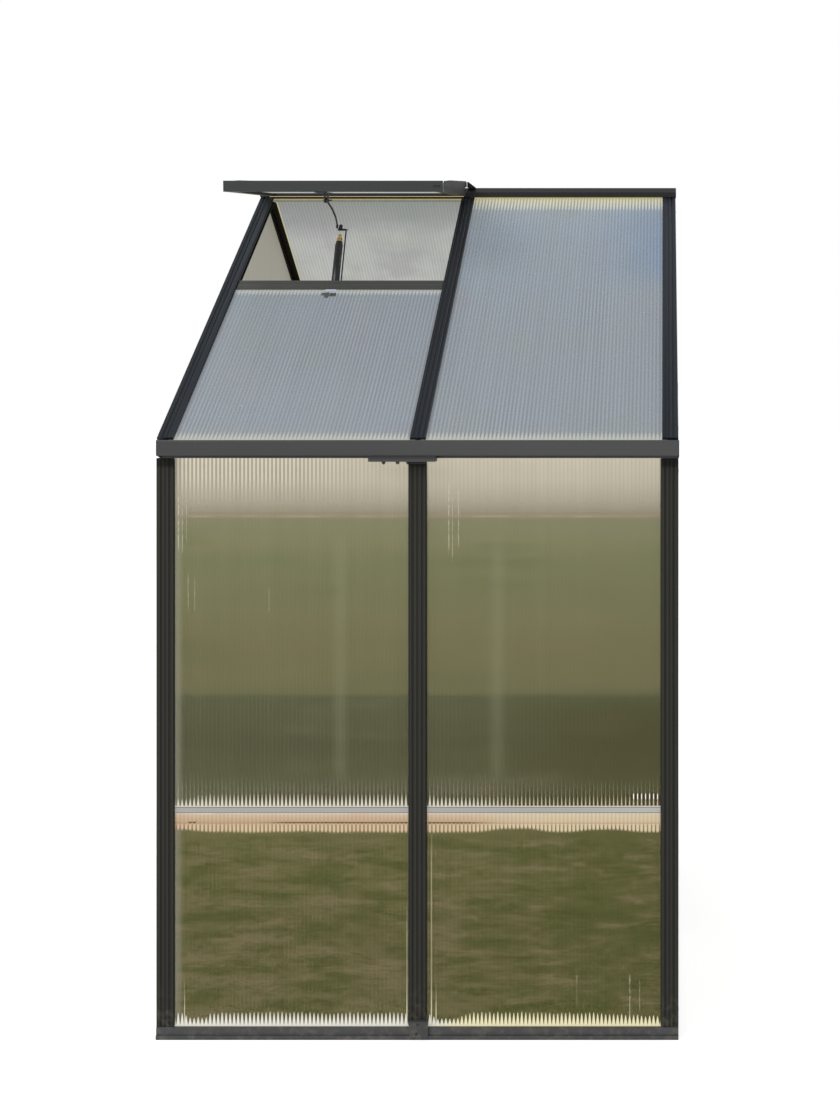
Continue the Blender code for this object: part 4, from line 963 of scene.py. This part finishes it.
# The gutters stop a little short of the left gable's face.
GUTTER_TRIM = 0.0118
for tag in ("front", "rear"):
    bm = bmesh.new()
    bm.from_mesh(nodes[f"eave_gutter_{tag}"].data)
    for v in bm.verts:
        if abs(v.co.x - LEFT_X) < 0.0015:
            v.co.x += GUTTER_TRIM
    gutter = finish_mesh(f"gutter_channel_{tag}", bm, M_GUTTER, "frame",
                         (f"eave_gutter_{tag}",), 0, 0.00002)
    edge = gutter.modifiers.new("edges", "BEVEL")
    edge.width, edge.segments, edge.limit_method = 0.0003, 2, "ANGLE"
    edge.angle_limit = math.radians(25)
dress(["ridge_beam"], M_RIDGE)
dress(["gutter_splice_plate"], M_GUTTER, 0.0006)
dress(["base_rail_left", "base_rail_right", "door_header"], M_RAIL_Y)
dress(["vent_sill"], M_SILL)
dress(["vent_bottom_rail", "vent_hinge_rail"], M_SASH_X)
dress(["vent_side_rail_left", "vent_side_rail_right"], M_SASH_Y)
dress(["door_frame"], M_DOOR, 0.0006)
dress(["door_hinge_lower", "door_hinge_upper"], M_SMALL, 0.0003)
dress(["opener_upper_arm"], M_DARK_STEEL, 0.0)
dress(["opener_sill_bracket"], M_ZINC, 0.0003)
dress(["opener_sash_bracket"], M_SMALL, 0.0003)
dress(["door_handle"], M_HANDLE, 0.0)


def joiner_material():
    """Clear-anodised joining strip; its bright lower lip is a painted highlight and part of its colour a painted glow.
    """
    g = Graph("joining_strip")
    brush = g.noise(g.along((1, 0, 0), 0.01), 800, 2.0)
    slant = g.math("FRACT", g.math("DIVIDE", g.add(g.x, g.mul(g.z, 0.9)), FLUTE))
    hatch = g.mul(g.bump_at(slant, 0.5, 0.30), g.step(g.sub(g.x, MID_X), -0.10, -0.40))
    base = g.mix(g.mul(hatch, 0.30), srgb(140, 138, 133), srgb(116, 113, 106))
    base = g.mix(g.step(g.sub(g.x, MID_X), 0.30, 0.56), base, srgb(150, 149, 142))
    # painted highlight along the lip
    rim = g.step(g.z, JOIN_HI - 0.0020, JOIN_HI - 0.0014)
    base = g.mix(g.bump_at(g.z, JOIN_HI - 0.0032, 0.0018), base, srgb(92, 88, 80))
    base = g.mix(rim, base, srgb(196, 190, 178))
    base = g.mix(g.step(g.z, JOIN_LO + 0.0022, JOIN_LO + 0.0014), base, srgb(96, 88, 76))
    n = g.surface(Base_Color=base, Metallic=0.2,
                  Roughness=g.add(0.34, g.mul(brush, 0.2)), Normal=g.bump(brush, 0.1, 0.0003))
    g.plug(n.inputs["Emission Color"], g.shade(base, 0.22))
    n.inputs["Emission Strength"].default_value = 1.0
    return g.mat


dress(["sheet_joiner_left", "sheet_joiner_right"], joiner_material(), 0.0002)


# ------------------------------------------------------------------- small parts
def turned(bm, at, axis, profile, sides=20, mat=0, start=0.0):
    """A solid of revolution: profile is (distance along the axis, radius)."""
    axis = Vector(axis).normalized()
    u = axis.orthogonal().normalized()
    v = axis.cross(u)
    loops = []
    for d, r in profile:
        ring = []
        for i in range(sides):
            a = start + 2 * math.pi * i / sides
            ring.append(bm.verts.new(Vector(at) + axis * d + (u * math.cos(a) + v * math.sin(a)) * r))
        loops.append(ring)
    for a, b in zip(loops, loops[1:]):
        for i in range(sides):
            quad(bm, a[i], a[(i + 1) % sides], b[(i + 1) % sides], b[i], mat=mat)
    quad(bm, *reversed(loops[0]), mat=mat)
    quad(bm, *loops[-1], mat=mat)


def pan_head(bm, at, axis, r, mat=0):
    """A pan-head screw with a round recess."""
    h = r * 0.62
    turned(bm, at, axis, [(-0.0004, r * 0.96), (0, r), (h * 0.45, r), (h * 0.85, r * 0.80),
                          (h, r * 0.48), (h, r * 0.40), (h * 0.5, r * 0.28)], 20, mat)


def flush_head(bm, at, axis, r, mat=0):
    """A low countersunk screw with a round recess."""
    turned(bm, at, axis, [(-0.0010, r * 0.80), (0, r), (0.0004, r * 0.97), (0.0007, r * 0.80),
                          (0.0007, r * 0.42), (-0.0002, r * 0.32)], 24, mat)


def block(bm, low, high, mat=0):
    (x0, y0, z0), (x1, y1, z1) = low, high
    v = [bm.verts.new((x, y, z)) for x in (x0, x1) for y in (y0, y1) for z in (z0, z1)]
    for f in ((0, 1, 3, 2), (4, 6, 7, 5), (0, 4, 5, 1), (2, 3, 7, 6), (0, 2, 6, 4), (1, 5, 7, 3)):
        quad(bm, *(v[i] for i in f), mat=mat)


def prism(bm, points, x0, x1, mat=0):
    """A (Y, Z) outline drawn out along X."""
    a = [bm.verts.new((x0, y, z)) for y, z in points]
    b = [bm.verts.new((x1, y, z)) for y, z in points]
    for i in range(len(points)):
        j = (i + 1) % len(points)
        quad(bm, a[i], a[j], b[j], b[i], mat=mat)
    quad(bm, *reversed(a), mat=mat)
    quad(bm, *b, mat=mat)


def soften(obj, width=0.0003):
    m = obj.modifiers.new("edges", "BEVEL")
    m.width, m.segments = width, 2
    m.limit_method, m.angle_limit = "ANGLE", math.radians(40)
    return obj


# Foot plates: folded plates that lap over the base rails at the middle posts.
PLATE = [(-1.2276, 0.0010), (-1.2276, 0.0445), (-1.2203, 0.0475), (-1.2203, 0.0298),
         (-1.2218, 0.0288), (-1.2218, 0.0118), (-1.2263, 0.0098), (-1.2263, 0.0010)]
for where, sign in (("front", 1), ("rear", -1)):
    bm = bmesh.new()
    outline = [(y * sign, z) for y, z in PLATE]
    prism(bm, outline, MID_X - 0.0195, MID_X + 0.0265)
    soften(finish_mesh(f"foot_plate_{where}", bm, M_SMALL, "frame", (), 0), 0.0004)
    bm = bmesh.new()
    pan_head(bm, (MID_X - 0.0015, -1.2276 * sign, 0.0150), (0, -sign, 0), 0.0034)
    pan_head(bm, (MID_X + 0.0010, -1.2276 * sign, 0.0375), (0, -sign, 0), 0.0022)
    finish_mesh(f"foot_plate_screws_{where}", bm, M_DARK_STEEL, "frame")

# Splice of the gutter: bolts with copper-coloured ends, and a gusset under the plate.
splice_lo, splice_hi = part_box("gutter_splice_plate")
bm = bmesh.new()
for u, mat in ((-0.0777, 0), (-0.0440, 1), (-0.0190, 0)):
    at = (MID_X + u, -1.2480, splice_lo.z + 0.0003)
    turned(bm, at, (0, 0, -1), [(0, 0.0056), (0.0010, 0.0056), (0.0012, 0.0050)], 20, 0)
    turned(bm, at, (0, 0, -1), [(0.0010, 0.0046), (0.0046, 0.0046), (0.0054, 0.0036)], 6, 0)
    turned(bm, at, (0, 0, -1), [(0.0052, 0.0026), (0.0064, 0.0026), (0.0069, 0.0018)], 14, mat)
finish_mesh("gutter_splice_bolts", bm, (M_DARK_STEEL, M_COPPER), "frame")
bm = bmesh.new()
a = [(-0.0175, -1.2535, 1.3966), (0.0262, -1.2535, 1.3966), (0.0205, -1.2535, 1.3915), (-0.0120, -1.2535, 1.3915)]
front_face = [bm.verts.new((MID_X + x, y, z)) for x, y, z in a]
back_face = [bm.verts.new((MID_X + x, y + 0.0300, z)) for x, y, z in a]
quad(bm, *front_face)
quad(bm, *reversed(back_face))
for i in range(4):
    j = (i + 1) % 4
    quad(bm, front_face[j], front_face[i], back_face[i], back_face[j])
soften(finish_mesh("gutter_splice_gusset", bm, M_SHADE, "frame", (), 0), 0.0004)


def cap(name, node, body, mat, thick=0.0016, trim=0.0):
    """End caps over both ends of a bar that runs along X, cut to its outer outline."""
    pts = [v.co for v in nodes[node].data.vertices]
    x0, x1 = min(p.x for p in pts), max(p.x for p in pts)
    bm = bmesh.new()
    for x, way in ((x0, -1), (x1, 1)):
        flat = sorted({(round(p.y, 5), round(p.z, 5)) for p in pts if abs(p.x - x) < 1e-4})
        part = bmesh.new()
        start = x + trim if way < 0 else x
        for y, z in flat:
            part.verts.new((start + way * 0.0002, y, z))
            part.verts.new((start + way * thick, y, z))
        bmesh.ops.convex_hull(part, input=part.verts)
        bmesh.ops.dissolve_limit(part, angle_limit=0.01, verts=part.verts, edges=part.edges)
        for v in [v for v in part.verts if not v.link_faces]:
            part.verts.remove(v)
        mesh = bpy.data.meshes.new("cap")
        part.to_mesh(mesh)
        part.free()
        bm.from_mesh(mesh)
        bpy.data.meshes.remove(mesh)
    soften(finish_mesh(name, bm, mat, body, (), 0), 0.0003)


cap("gutter_caps_front", "eave_gutter_front", "frame", M_CAP, trim=GUTTER_TRIM)
cap("gutter_caps_rear", "eave_gutter_rear", "frame", M_CAP, trim=GUTTER_TRIM)
cap("ridge_caps", "ridge_beam", "frame", M_CAP)

# Seals along the ridge, between its lower edge and the roof sheets' upper ends; their pale gold band is a painted
# highlight, the dark band above it painted shade, and part of their colour a painted glow.
def ridge_seal_material():
    g = Graph("ridge_seal")
    ripple = g.noise(g.vec(g.mul(g.x, 60), 0, 0), 1.0, 2.0)
    base = g.ramp(g.math("DIVIDE", g.sub(g.z, 2.120), 0.03),
                  [(0.0, srgb(146, 149, 146)), (0.50, srgb(148, 150, 143)), (0.56, srgb(196, 188, 140)),
                   (0.64, srgb(196, 186, 136)), (0.68, srgb(64, 44, 28))])
    base = g.shade(base, g.add(0.85, g.mul(ripple, 0.3)))
    n = g.surface(Base_Color=g.shade(base, 0.4), Roughness=0.6, Specular_IOR_Level=0.1)
    g.plug(n.inputs["Emission Color"], g.shade(base, 0.6))
    n.inputs["Emission Strength"].default_value = 1.0
    return g.mat


M_RIDGE_SEAL = ridge_seal_material()
for tag, side, node in (("rear_left", 1, "roof_sheet_rear_left"), ("rear_right", 1, "roof_sheet_rear_right"),
                        ("front_right", -1, "roof_sheet_front_right")):
    lo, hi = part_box(node)
    near = min(abs(lo.y), abs(hi.y))
    corners = sorted((v.co for v in nodes[node].data.vertices), key=lambda p: abs(p.y))
    top_end = [p for p in corners if abs(p.y) < near + 0.0085]
    inner = min(top_end, key=lambda p: abs(p.y) + p.z)
    outer = max(top_end, key=lambda p: p.z)
    bm = bmesh.new()
    prism(bm, [(side * 0.0205, ridge_lo.z - 0.0001), (side * 0.0270, ridge_lo.z - 0.0001),
               (outer.y - side * 0.0003, outer.z), (inner.y - side * 0.0003, inner.z)],
          lo.x + 0.001, hi.x - 0.001)
    finish_mesh(f"ridge_seal_{tag}", bm, M_RIDGE_SEAL, "frame", (), 0)
# A pale gold seal under the ridge at the vent: its colour a painted highlight, partly a painted glow.
bm = bmesh.new()
vent_lo, vent_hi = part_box("vent_glazing")
block(bm, (vent_lo.x - 0.012, ridge_lo.y - 0.0009, ridge_lo.z + 0.0003),
      (vent_hi.x + 0.006, ridge_lo.y - 0.0001, ridge_lo.z + 0.0058))
soften(finish_mesh("vent_top_seal", bm, M_GOLD_EDGE, "frame", (), 0), 0.0002)

# Cover over the middle rafters' joint at the ridge: a folded wedge.
bm = bmesh.new()
wedge = [(-0.0035, 2.1712), (0.0215, 2.1712), (0.0205, 2.1722), (0.0005, 2.1875), (-0.0035, 2.1880)]
for y in (-0.0200, 0.0200):
    loop = [bm.verts.new((MID_X + x, y, z)) for x, z in wedge]
    quad(bm, *(loop if y < 0 else reversed(loop)))
bm.verts.ensure_lookup_table()
for i in range(len(wedge)):
    j = (i + 1) % len(wedge)
    quad(bm, bm.verts[i], bm.verts[j], bm.verts[len(wedge) + j], bm.verts[len(wedge) + i])
soften(finish_mesh("ridge_joint_cover", bm, M_SHADE, "frame", (), 0), 0.0004)

# Bolts of the corner joints, seen on the gable faces.
bm = bmesh.new()
for x, way in ((LEFT_X, -1), (RIGHT_X, 1)):
    for side in (-1, 1):
        flush_head(bm, (x, side * (WALL_Y - 0.021), 0.066), (way, 0, 0), 0.0050)
        flush_head(bm, (x, side * (WALL_Y - 0.021), 1.372), (way, 0, 0), 0.0050)
        for s in (0.095, 1.330):
            y, z = slope(side, s, -0.020)
            flush_head(bm, (x, y, z), (way, 0, 0), 0.0050)
finish_mesh("corner_bolts", bm, M_STEEL, "frame")
bm = bmesh.new()
for node in ("gable_stud_front", "gable_stud_rear", "door_jamb_front", "door_jamb_rear"):
    lo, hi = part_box(node)
    way = -1 if lo.x < 0 else 1
    x = lo.x if way < 0 else hi.x
    for z in (lo.z + 0.018, lo.z + 0.90):
        pan_head(bm, (x, (lo.y + hi.y) / 2, z), (way, 0, 0), 0.0030)
finish_mesh("stud_screws", bm, M_STEEL, "frame")

# Glazing seals: soft black lips between the front and rear posts and the sheets.
bm = bmesh.new()
for side in (-1, 1):
    for node, ways in (("left", (1,)), ("center", (-1, 1)), ("right", (-1,))):
        lo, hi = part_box(f"post_{'front' if side < 0 else 'rear'}_{node}")
        for way in ways:
            edge = hi.x if way > 0 else lo.x
            y0, y1 = sorted((side * 1.2124, side * 1.2142))
            x0, x1 = sorted((edge + way * 0.0002, edge + way * 0.0016))
            block(bm, (x0, y0, BASE_H + 0.002), (x1, y1, 1.402))
soften(finish_mesh("glazing_seals", bm, M_SEAL, "frame", (), 0), 0.0003)

# Door: screws at the frame's corners and middle, and the hinges' pins.
door_lo, door_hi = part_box("door_frame")
bm = bmesh.new()
for y in (door_lo.y + 0.022, door_hi.y - 0.022):
    for z in (door_lo.z + 0.016, door_hi.z - 0.016, 0.960):
        pan_head(bm, (door_hi.x, y, z), (1, 0, 0), 0.0028)
finish_mesh("door_joint_screws", bm, M_STEEL, "door")
bm = bmesh.new()
for name in ("door_hinge_lower", "door_hinge_upper"):
    lo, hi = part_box(name)
    pin = joints["door_hinge"]
    for z, way in ((hi.z, 1), (lo.z, -1)):
        turned(bm, (0.6315, 0.311, z), (0, 0, way),
               [(-0.0002, 0.0030), (0.0006, 0.0034), (0.0016, 0.0030), (0.0022, 0.0018)], 16)
finish_mesh("door_hinge_pins", bm, M_STEEL, "frame")

# Vent: the clip under the sill and its pads.
bm = bmesh.new()
prism(bm, [slope(-1, s, n) for s, n in ((0.6245, -0.0078), (0.6245, -0.0048), (0.6320, -0.0048), (0.6320, -0.0078))],
      MID_X - 0.3430, MID_X - 0.3125)
soften(finish_mesh("sill_clip", bm, M_CLIP, "frame", (), 0), 0.0006)
bm = bmesh.new()
for x0, x1, s0, s1 in ((-0.3500, -0.3420, 0.640, 0.655), (-0.3410, -0.3290, 0.638, 0.668), (-0.3280, -0.3100, 0.642, 0.660)):
    prism(bm, [slope(-1, s, n) for s, n in ((s0, -0.0079), (s0, -0.0072), (s1, -0.0072), (s1, -0.0079))],
          MID_X + x0, MID_X + x1)
soften(finish_mesh("sill_clip_pads", bm, M_SMALL, "frame", (), 0), 0.0003)

# Raised flanges on the sash's side rails, highest over the ridge, and the rail's slot.
for tag in ("left", "right"):
    lo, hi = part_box(f"vent_side_rail_{tag}")
    way = -1 if tag == "left" else 1
    edge = lo.x if way < 0 else hi.x
    pts = [v.co for v in nodes[f"vent_side_rail_{tag}"].data.vertices]
    front_top = max((p for p in pts if p.y < lo.y + 0.03), key=lambda p: p.z)
    back_top = max((p for p in pts if p.y > hi.y - 0.03), key=lambda p: p.z)
    bm = bmesh.new()
    x0, x1 = sorted((edge - way * 0.0002, edge - way * 0.0032))
    prism(bm, [(front_top.y + 0.004, front_top.z - 0.0010), (front_top.y + 0.004, front_top.z + 0.0007),
               (front_top.y + 0.012, 2.1348), (-0.4500, 2.1505), (-0.0300, 2.1890), (-0.0220, 2.1894), (-0.0040, 2.1860), (-0.0040, 2.1725), (-0.0300, 2.1722),
               (back_top.y - 0.002, back_top.z - 0.0010)], x0, x1)
    soften(finish_mesh(f"vent_flange_{tag}", bm, M_SHADE, "vent", (), 0), 0.0004)
lo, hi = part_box("vent_bottom_rail")
bm = bmesh.new()
block(bm, (MID_X - 0.0324, lo.y - 0.0003, 2.1139), (MID_X - 0.0133, lo.y + 0.0012, 2.1189))
soften(finish_mesh("vent_rail_slot", bm, M_SEAL, "vent", (), 0), 0.0006)

# Opener: the wax cylinder with rolled ends, brass neck, rod, arm plate and pins.
pivot = {j["name"]: Vector(j["pos_m"]) for j in frame["record"]["behaviour"]["joints"] if "pos_m" in j}
FOOT = pivot["opener_foot_pivot"]
HEAD = pivot["opener_head_pivot"]
RUN = Vector(joints["opener_piston_slide"]["axis"]).normalized()
OUTWARD = Vector((0, -RUN.z, RUN.y))


def on_arm(d, n=0.0, x=0.0):
    """A point d along the lower arm, n off its axis and x to the side."""
    return FOOT + RUN * d + OUTWARD * n + Vector((x, 0, 0))


bm = bmesh.new()
turned(bm, on_arm(0), RUN, [
    (0.0205, 0.0080), (0.0211, 0.0092), (0.0225, 0.0110), (0.0262, 0.0110), (0.0270, 0.0105),
    (0.0298, 0.0105), (0.0306, 0.0110), (0.1470, 0.0110), (0.1478, 0.0105), (0.1506, 0.0105),
    (0.1514, 0.0110), (0.1540, 0.0110), (0.1556, 0.0098), (0.1632, 0.0095), (0.1640, 0.0086)], 32)
finish_mesh("opener_wax_cylinder", bm, M_BLACK, "opener_lower", ("opener_cylinder",))
bm = bmesh.new()
turned(bm, on_arm(0), RUN, [(0.1630, 0.0090), (0.1672, 0.0090), (0.1680, 0.0082)], 6)
turned(bm, on_arm(0), RUN, [(0.1674, 0.0077), (0.1700, 0.0077), (0.1704, 0.0070), (0.1712, 0.0070),
                            (0.1716, 0.0077), (0.1724, 0.0077), (0.1728, 0.0070), (0.1736, 0.0070),
                            (0.1740, 0.0077), (0.1762, 0.0077), (0.1774, 0.0064)], 28)
finish_mesh("opener_neck", bm, M_BRASS, "opener_lower")
bm = bmesh.new()
turned(bm, on_arm(0), RUN, [(0.1350, 0.0040), (0.1354, 0.0046), (0.1840, 0.0046), (0.1846, 0.0040),
                            (0.1856, 0.0040), (0.1862, 0.0046), (0.1890, 0.0046), (0.1900, 0.0034)], 28)
finish_mesh("opener_rod", bm, M_BRASS, "opener_piston", ("opener_piston",))
plate = [v.co - FOOT for v in nodes["opener_lower_arm"].data.vertices]
n0, n1 = min(p.dot(OUTWARD) for p in plate), max(p.dot(OUTWARD) for p in plate)
reach = max(p.dot(RUN) for p in plate)
outline = [(-0.0080, -0.0045), (-0.0065, -0.0060), (0.0165, -0.0060), (0.0180, -0.0045),
           (0.0180, 0.2050), (0.0165, 0.2085), (0.0058, 0.2095), (0.0050, 0.2110),
           (0.0050, reach - 0.0030), (0.0028, reach), (-0.0028, reach), (-0.0050, reach - 0.0030),
           (-0.0050, 0.2110), (-0.0058, 0.2095), (-0.0070, 0.2090), (-0.0070, 0.2042),
           (0.0132, 0.2042), (0.0145, 0.2030), (0.0145, 0.0160), (0.0125, 0.0140), (-0.0080, 0.0140)]
bm = bmesh.new()
near, far = ([bm.verts.new(on_arm(d, n, x)) for x, d in outline] for n in (n0, n1))
quad(bm, *near)
quad(bm, *reversed(far))
for i in range(len(outline)):
    j = (i + 1) % len(outline)
    quad(bm, near[j], near[i], far[i], far[j])
arm = finish_mesh("opener_arm_plate", bm, M_BLACK, "opener_lower",
                  ("opener_lower_arm",), 0)
soften(arm, 0.0004)
bm = bmesh.new()
for x, way, tall in ((-0.0070, -1, 0.0005), (0.0180, 1, 0.0028)):
    turned(bm, on_arm(0.2068, 0, x), (way, 0, 0), [(-0.0002, 0.0018), (tall * 0.2, 0.0027), (tall * 0.8, 0.0027), (tall, 0.0018)], 16)
finish_mesh("opener_arm_rivets", bm, M_COPPER, "opener_lower")
elbow = on_arm(0.2178)
up_lo, up_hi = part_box("opener_upper_arm")
bm = bmesh.new()
turned(bm, (up_lo.x - 0.0022, elbow.y, elbow.z), (1, 0, 0), [
    (0, 0.0030), (0.0004, 0.0040), (0.0018, 0.0040), (0.0020, 0.0026)], 20, 0)
turned(bm, (up_lo.x - 0.0028, elbow.y, elbow.z), (1, 0, 0), [(0, 0.0012), (0.0006, 0.0018), (0.0008, 0.0018)], 14, 1)
finish_mesh("opener_elbow_head", bm, (M_DARK_STEEL, M_COPPER), "opener_upper")
bm = bmesh.new()
turned(bm, (up_lo.x - 0.0024, HEAD.y, HEAD.z), (1, 0, 0), [
    (-0.0050, 0.0016), (-0.0046, 0.0022), (-0.0034, 0.0022), (-0.0032, 0.0018), (0.0170, 0.0018),
    (0.0172, 0.0022), (0.0184, 0.0022), (0.0188, 0.0016)], 16)
finish_mesh("opener_head_pin", bm, M_DARK_STEEL, "vent")
bm = bmesh.new()
turned(bm, (FOOT.x - 0.0150, FOOT.y, FOOT.z), (1, 0, 0), [
    (0, 0.0018), (0.0005, 0.0026), (0.0016, 0.0026), (0.0018, 0.0019), (0.0300, 0.0019),
    (0.0302, 0.0026), (0.0313, 0.0026), (0.0318, 0.0018)], 16)
finish_mesh("opener_foot_pin", bm, M_STEEL, "frame")


# --------------------------------------------------------------------- the stage
bpy.ops.mesh.primitive_plane_add(size=80, location=(0, 0, 0))
floor = bpy.context.object
floor.name = "floor"
g = Graph("pale_floor")
mottle = g.noise(g.p, 3.0, 4.0)
pale = g.shade((0.87, 0.86, 0.85), g.add(0.99, g.mul(mottle, 0.02)))
n = g.surface(Base_Color=pale, Roughness=0.9, Specular_IOR_Level=0.1)
g.plug(n.inputs["Emission Color"], g.shade((1.00, 0.965, 0.935), g.add(0.99, g.mul(mottle, 0.02))))
n.inputs["Emission Strength"].default_value = 0.48
floor.data.materials.append(g.mat)

world = bpy.data.worlds.new("studio")
bpy.context.scene.world = world
world.use_nodes = True
tree = world.node_tree
tree.nodes.clear()
out = tree.nodes.new("ShaderNodeOutputWorld")
seen, lit = tree.nodes.new("ShaderNodeBackground"), tree.nodes.new("ShaderNodeBackground")
seen.inputs["Color"].default_value = (1, 1, 1, 1)
seen.inputs["Strength"].default_value = 1.0
coord = tree.nodes.new("ShaderNodeTexCoord")
part = tree.nodes.new("ShaderNodeSeparateXYZ")
tree.links.new(coord.outputs["Generated"], part.inputs[0])
sky = tree.nodes.new("ShaderNodeValToRGB")
sky.color_ramp.elements[0].position = 0.0
sky.color_ramp.elements[0].color = (0.92, 0.92, 0.90, 1)
sky.color_ramp.elements[1].position = 1.0
sky.color_ramp.elements[1].color = (0.80, 0.89, 1.0, 1)
tree.links.new(part.outputs["Z"], sky.inputs[0])
tree.links.new(sky.outputs[0], lit.inputs["Color"])
lit.inputs["Strength"].default_value = 0.86
path = tree.nodes.new("ShaderNodeLightPath")
mix = tree.nodes.new("ShaderNodeMixShader")
tree.links.new(path.outputs["Is Camera Ray"], mix.inputs[0])
tree.links.new(lit.outputs[0], mix.inputs[1])
tree.links.new(seen.outputs[0], mix.inputs[2])
tree.links.new(mix.outputs[0], out.inputs["Surface"])


def softbox(name, at, to, size, power):
    data = bpy.data.lights.new(name, "AREA")
    data.shape, data.size, data.size_y = "RECTANGLE", size[0], size[1]
    data.energy = power
    obj = bpy.data.objects.new(name, data)
    bpy.context.scene.collection.objects.link(obj)
    obj.location = at
    obj.rotation_euler = (Vector(to) - Vector(at)).to_track_quat("-Z", "Y").to_euler()
    return obj


softbox("key", (-3.6, -5.2, 5.2), (0, 0, 1.0), (3.0, 3.0), 210)
softbox("rim", (4.2, 3.6, 4.6), (0, 0, 1.1), (2.6, 2.6), 110)

# -------------------------------------------------------------------- the camera
EYE = (MID_X + 0.596, -5.83, 1.624)
cam_data = bpy.data.cameras.new("camera")
cam = bpy.data.objects.new("camera", cam_data)
bpy.context.scene.collection.objects.link(cam)
cam.location = EYE
cam.rotation_euler = (math.radians(90), 0, 0)
cam_data.sensor_width = 36
cam_data.sensor_fit = "AUTO"
cam_data.lens = 61.33
cam_data.clip_end = 200
bpy.context.scene.camera = cam


def shift_driver(path_name, amount):
    """A rising front, as on a view camera. It holds only where the camera stands
    straight before the front; from any other place the lens is centred."""
    driver = cam_data.driver_add(path_name).driver
    driver.type = "SCRIPTED"
    for name, channel in (("px", "LOC_X"), ("py", "LOC_Y")):
        var = driver.variables.new()
        var.name, var.type = name, "TRANSFORMS"
        var.targets[0].id = cam
        var.targets[0].transform_type = channel
        var.targets[0].transform_space = "WORLD_SPACE"
    driver.expression = (f"{amount} * (abs(px - {EYE[0]}) < 0.001)"
                         f" * (abs(py - {EYE[1]}) < 0.001)")


shift_driver("shift_x", -0.2179)
shift_driver("shift_y", -0.1723)
bpy.context.scene.view_settings.view_transform = "Standard"
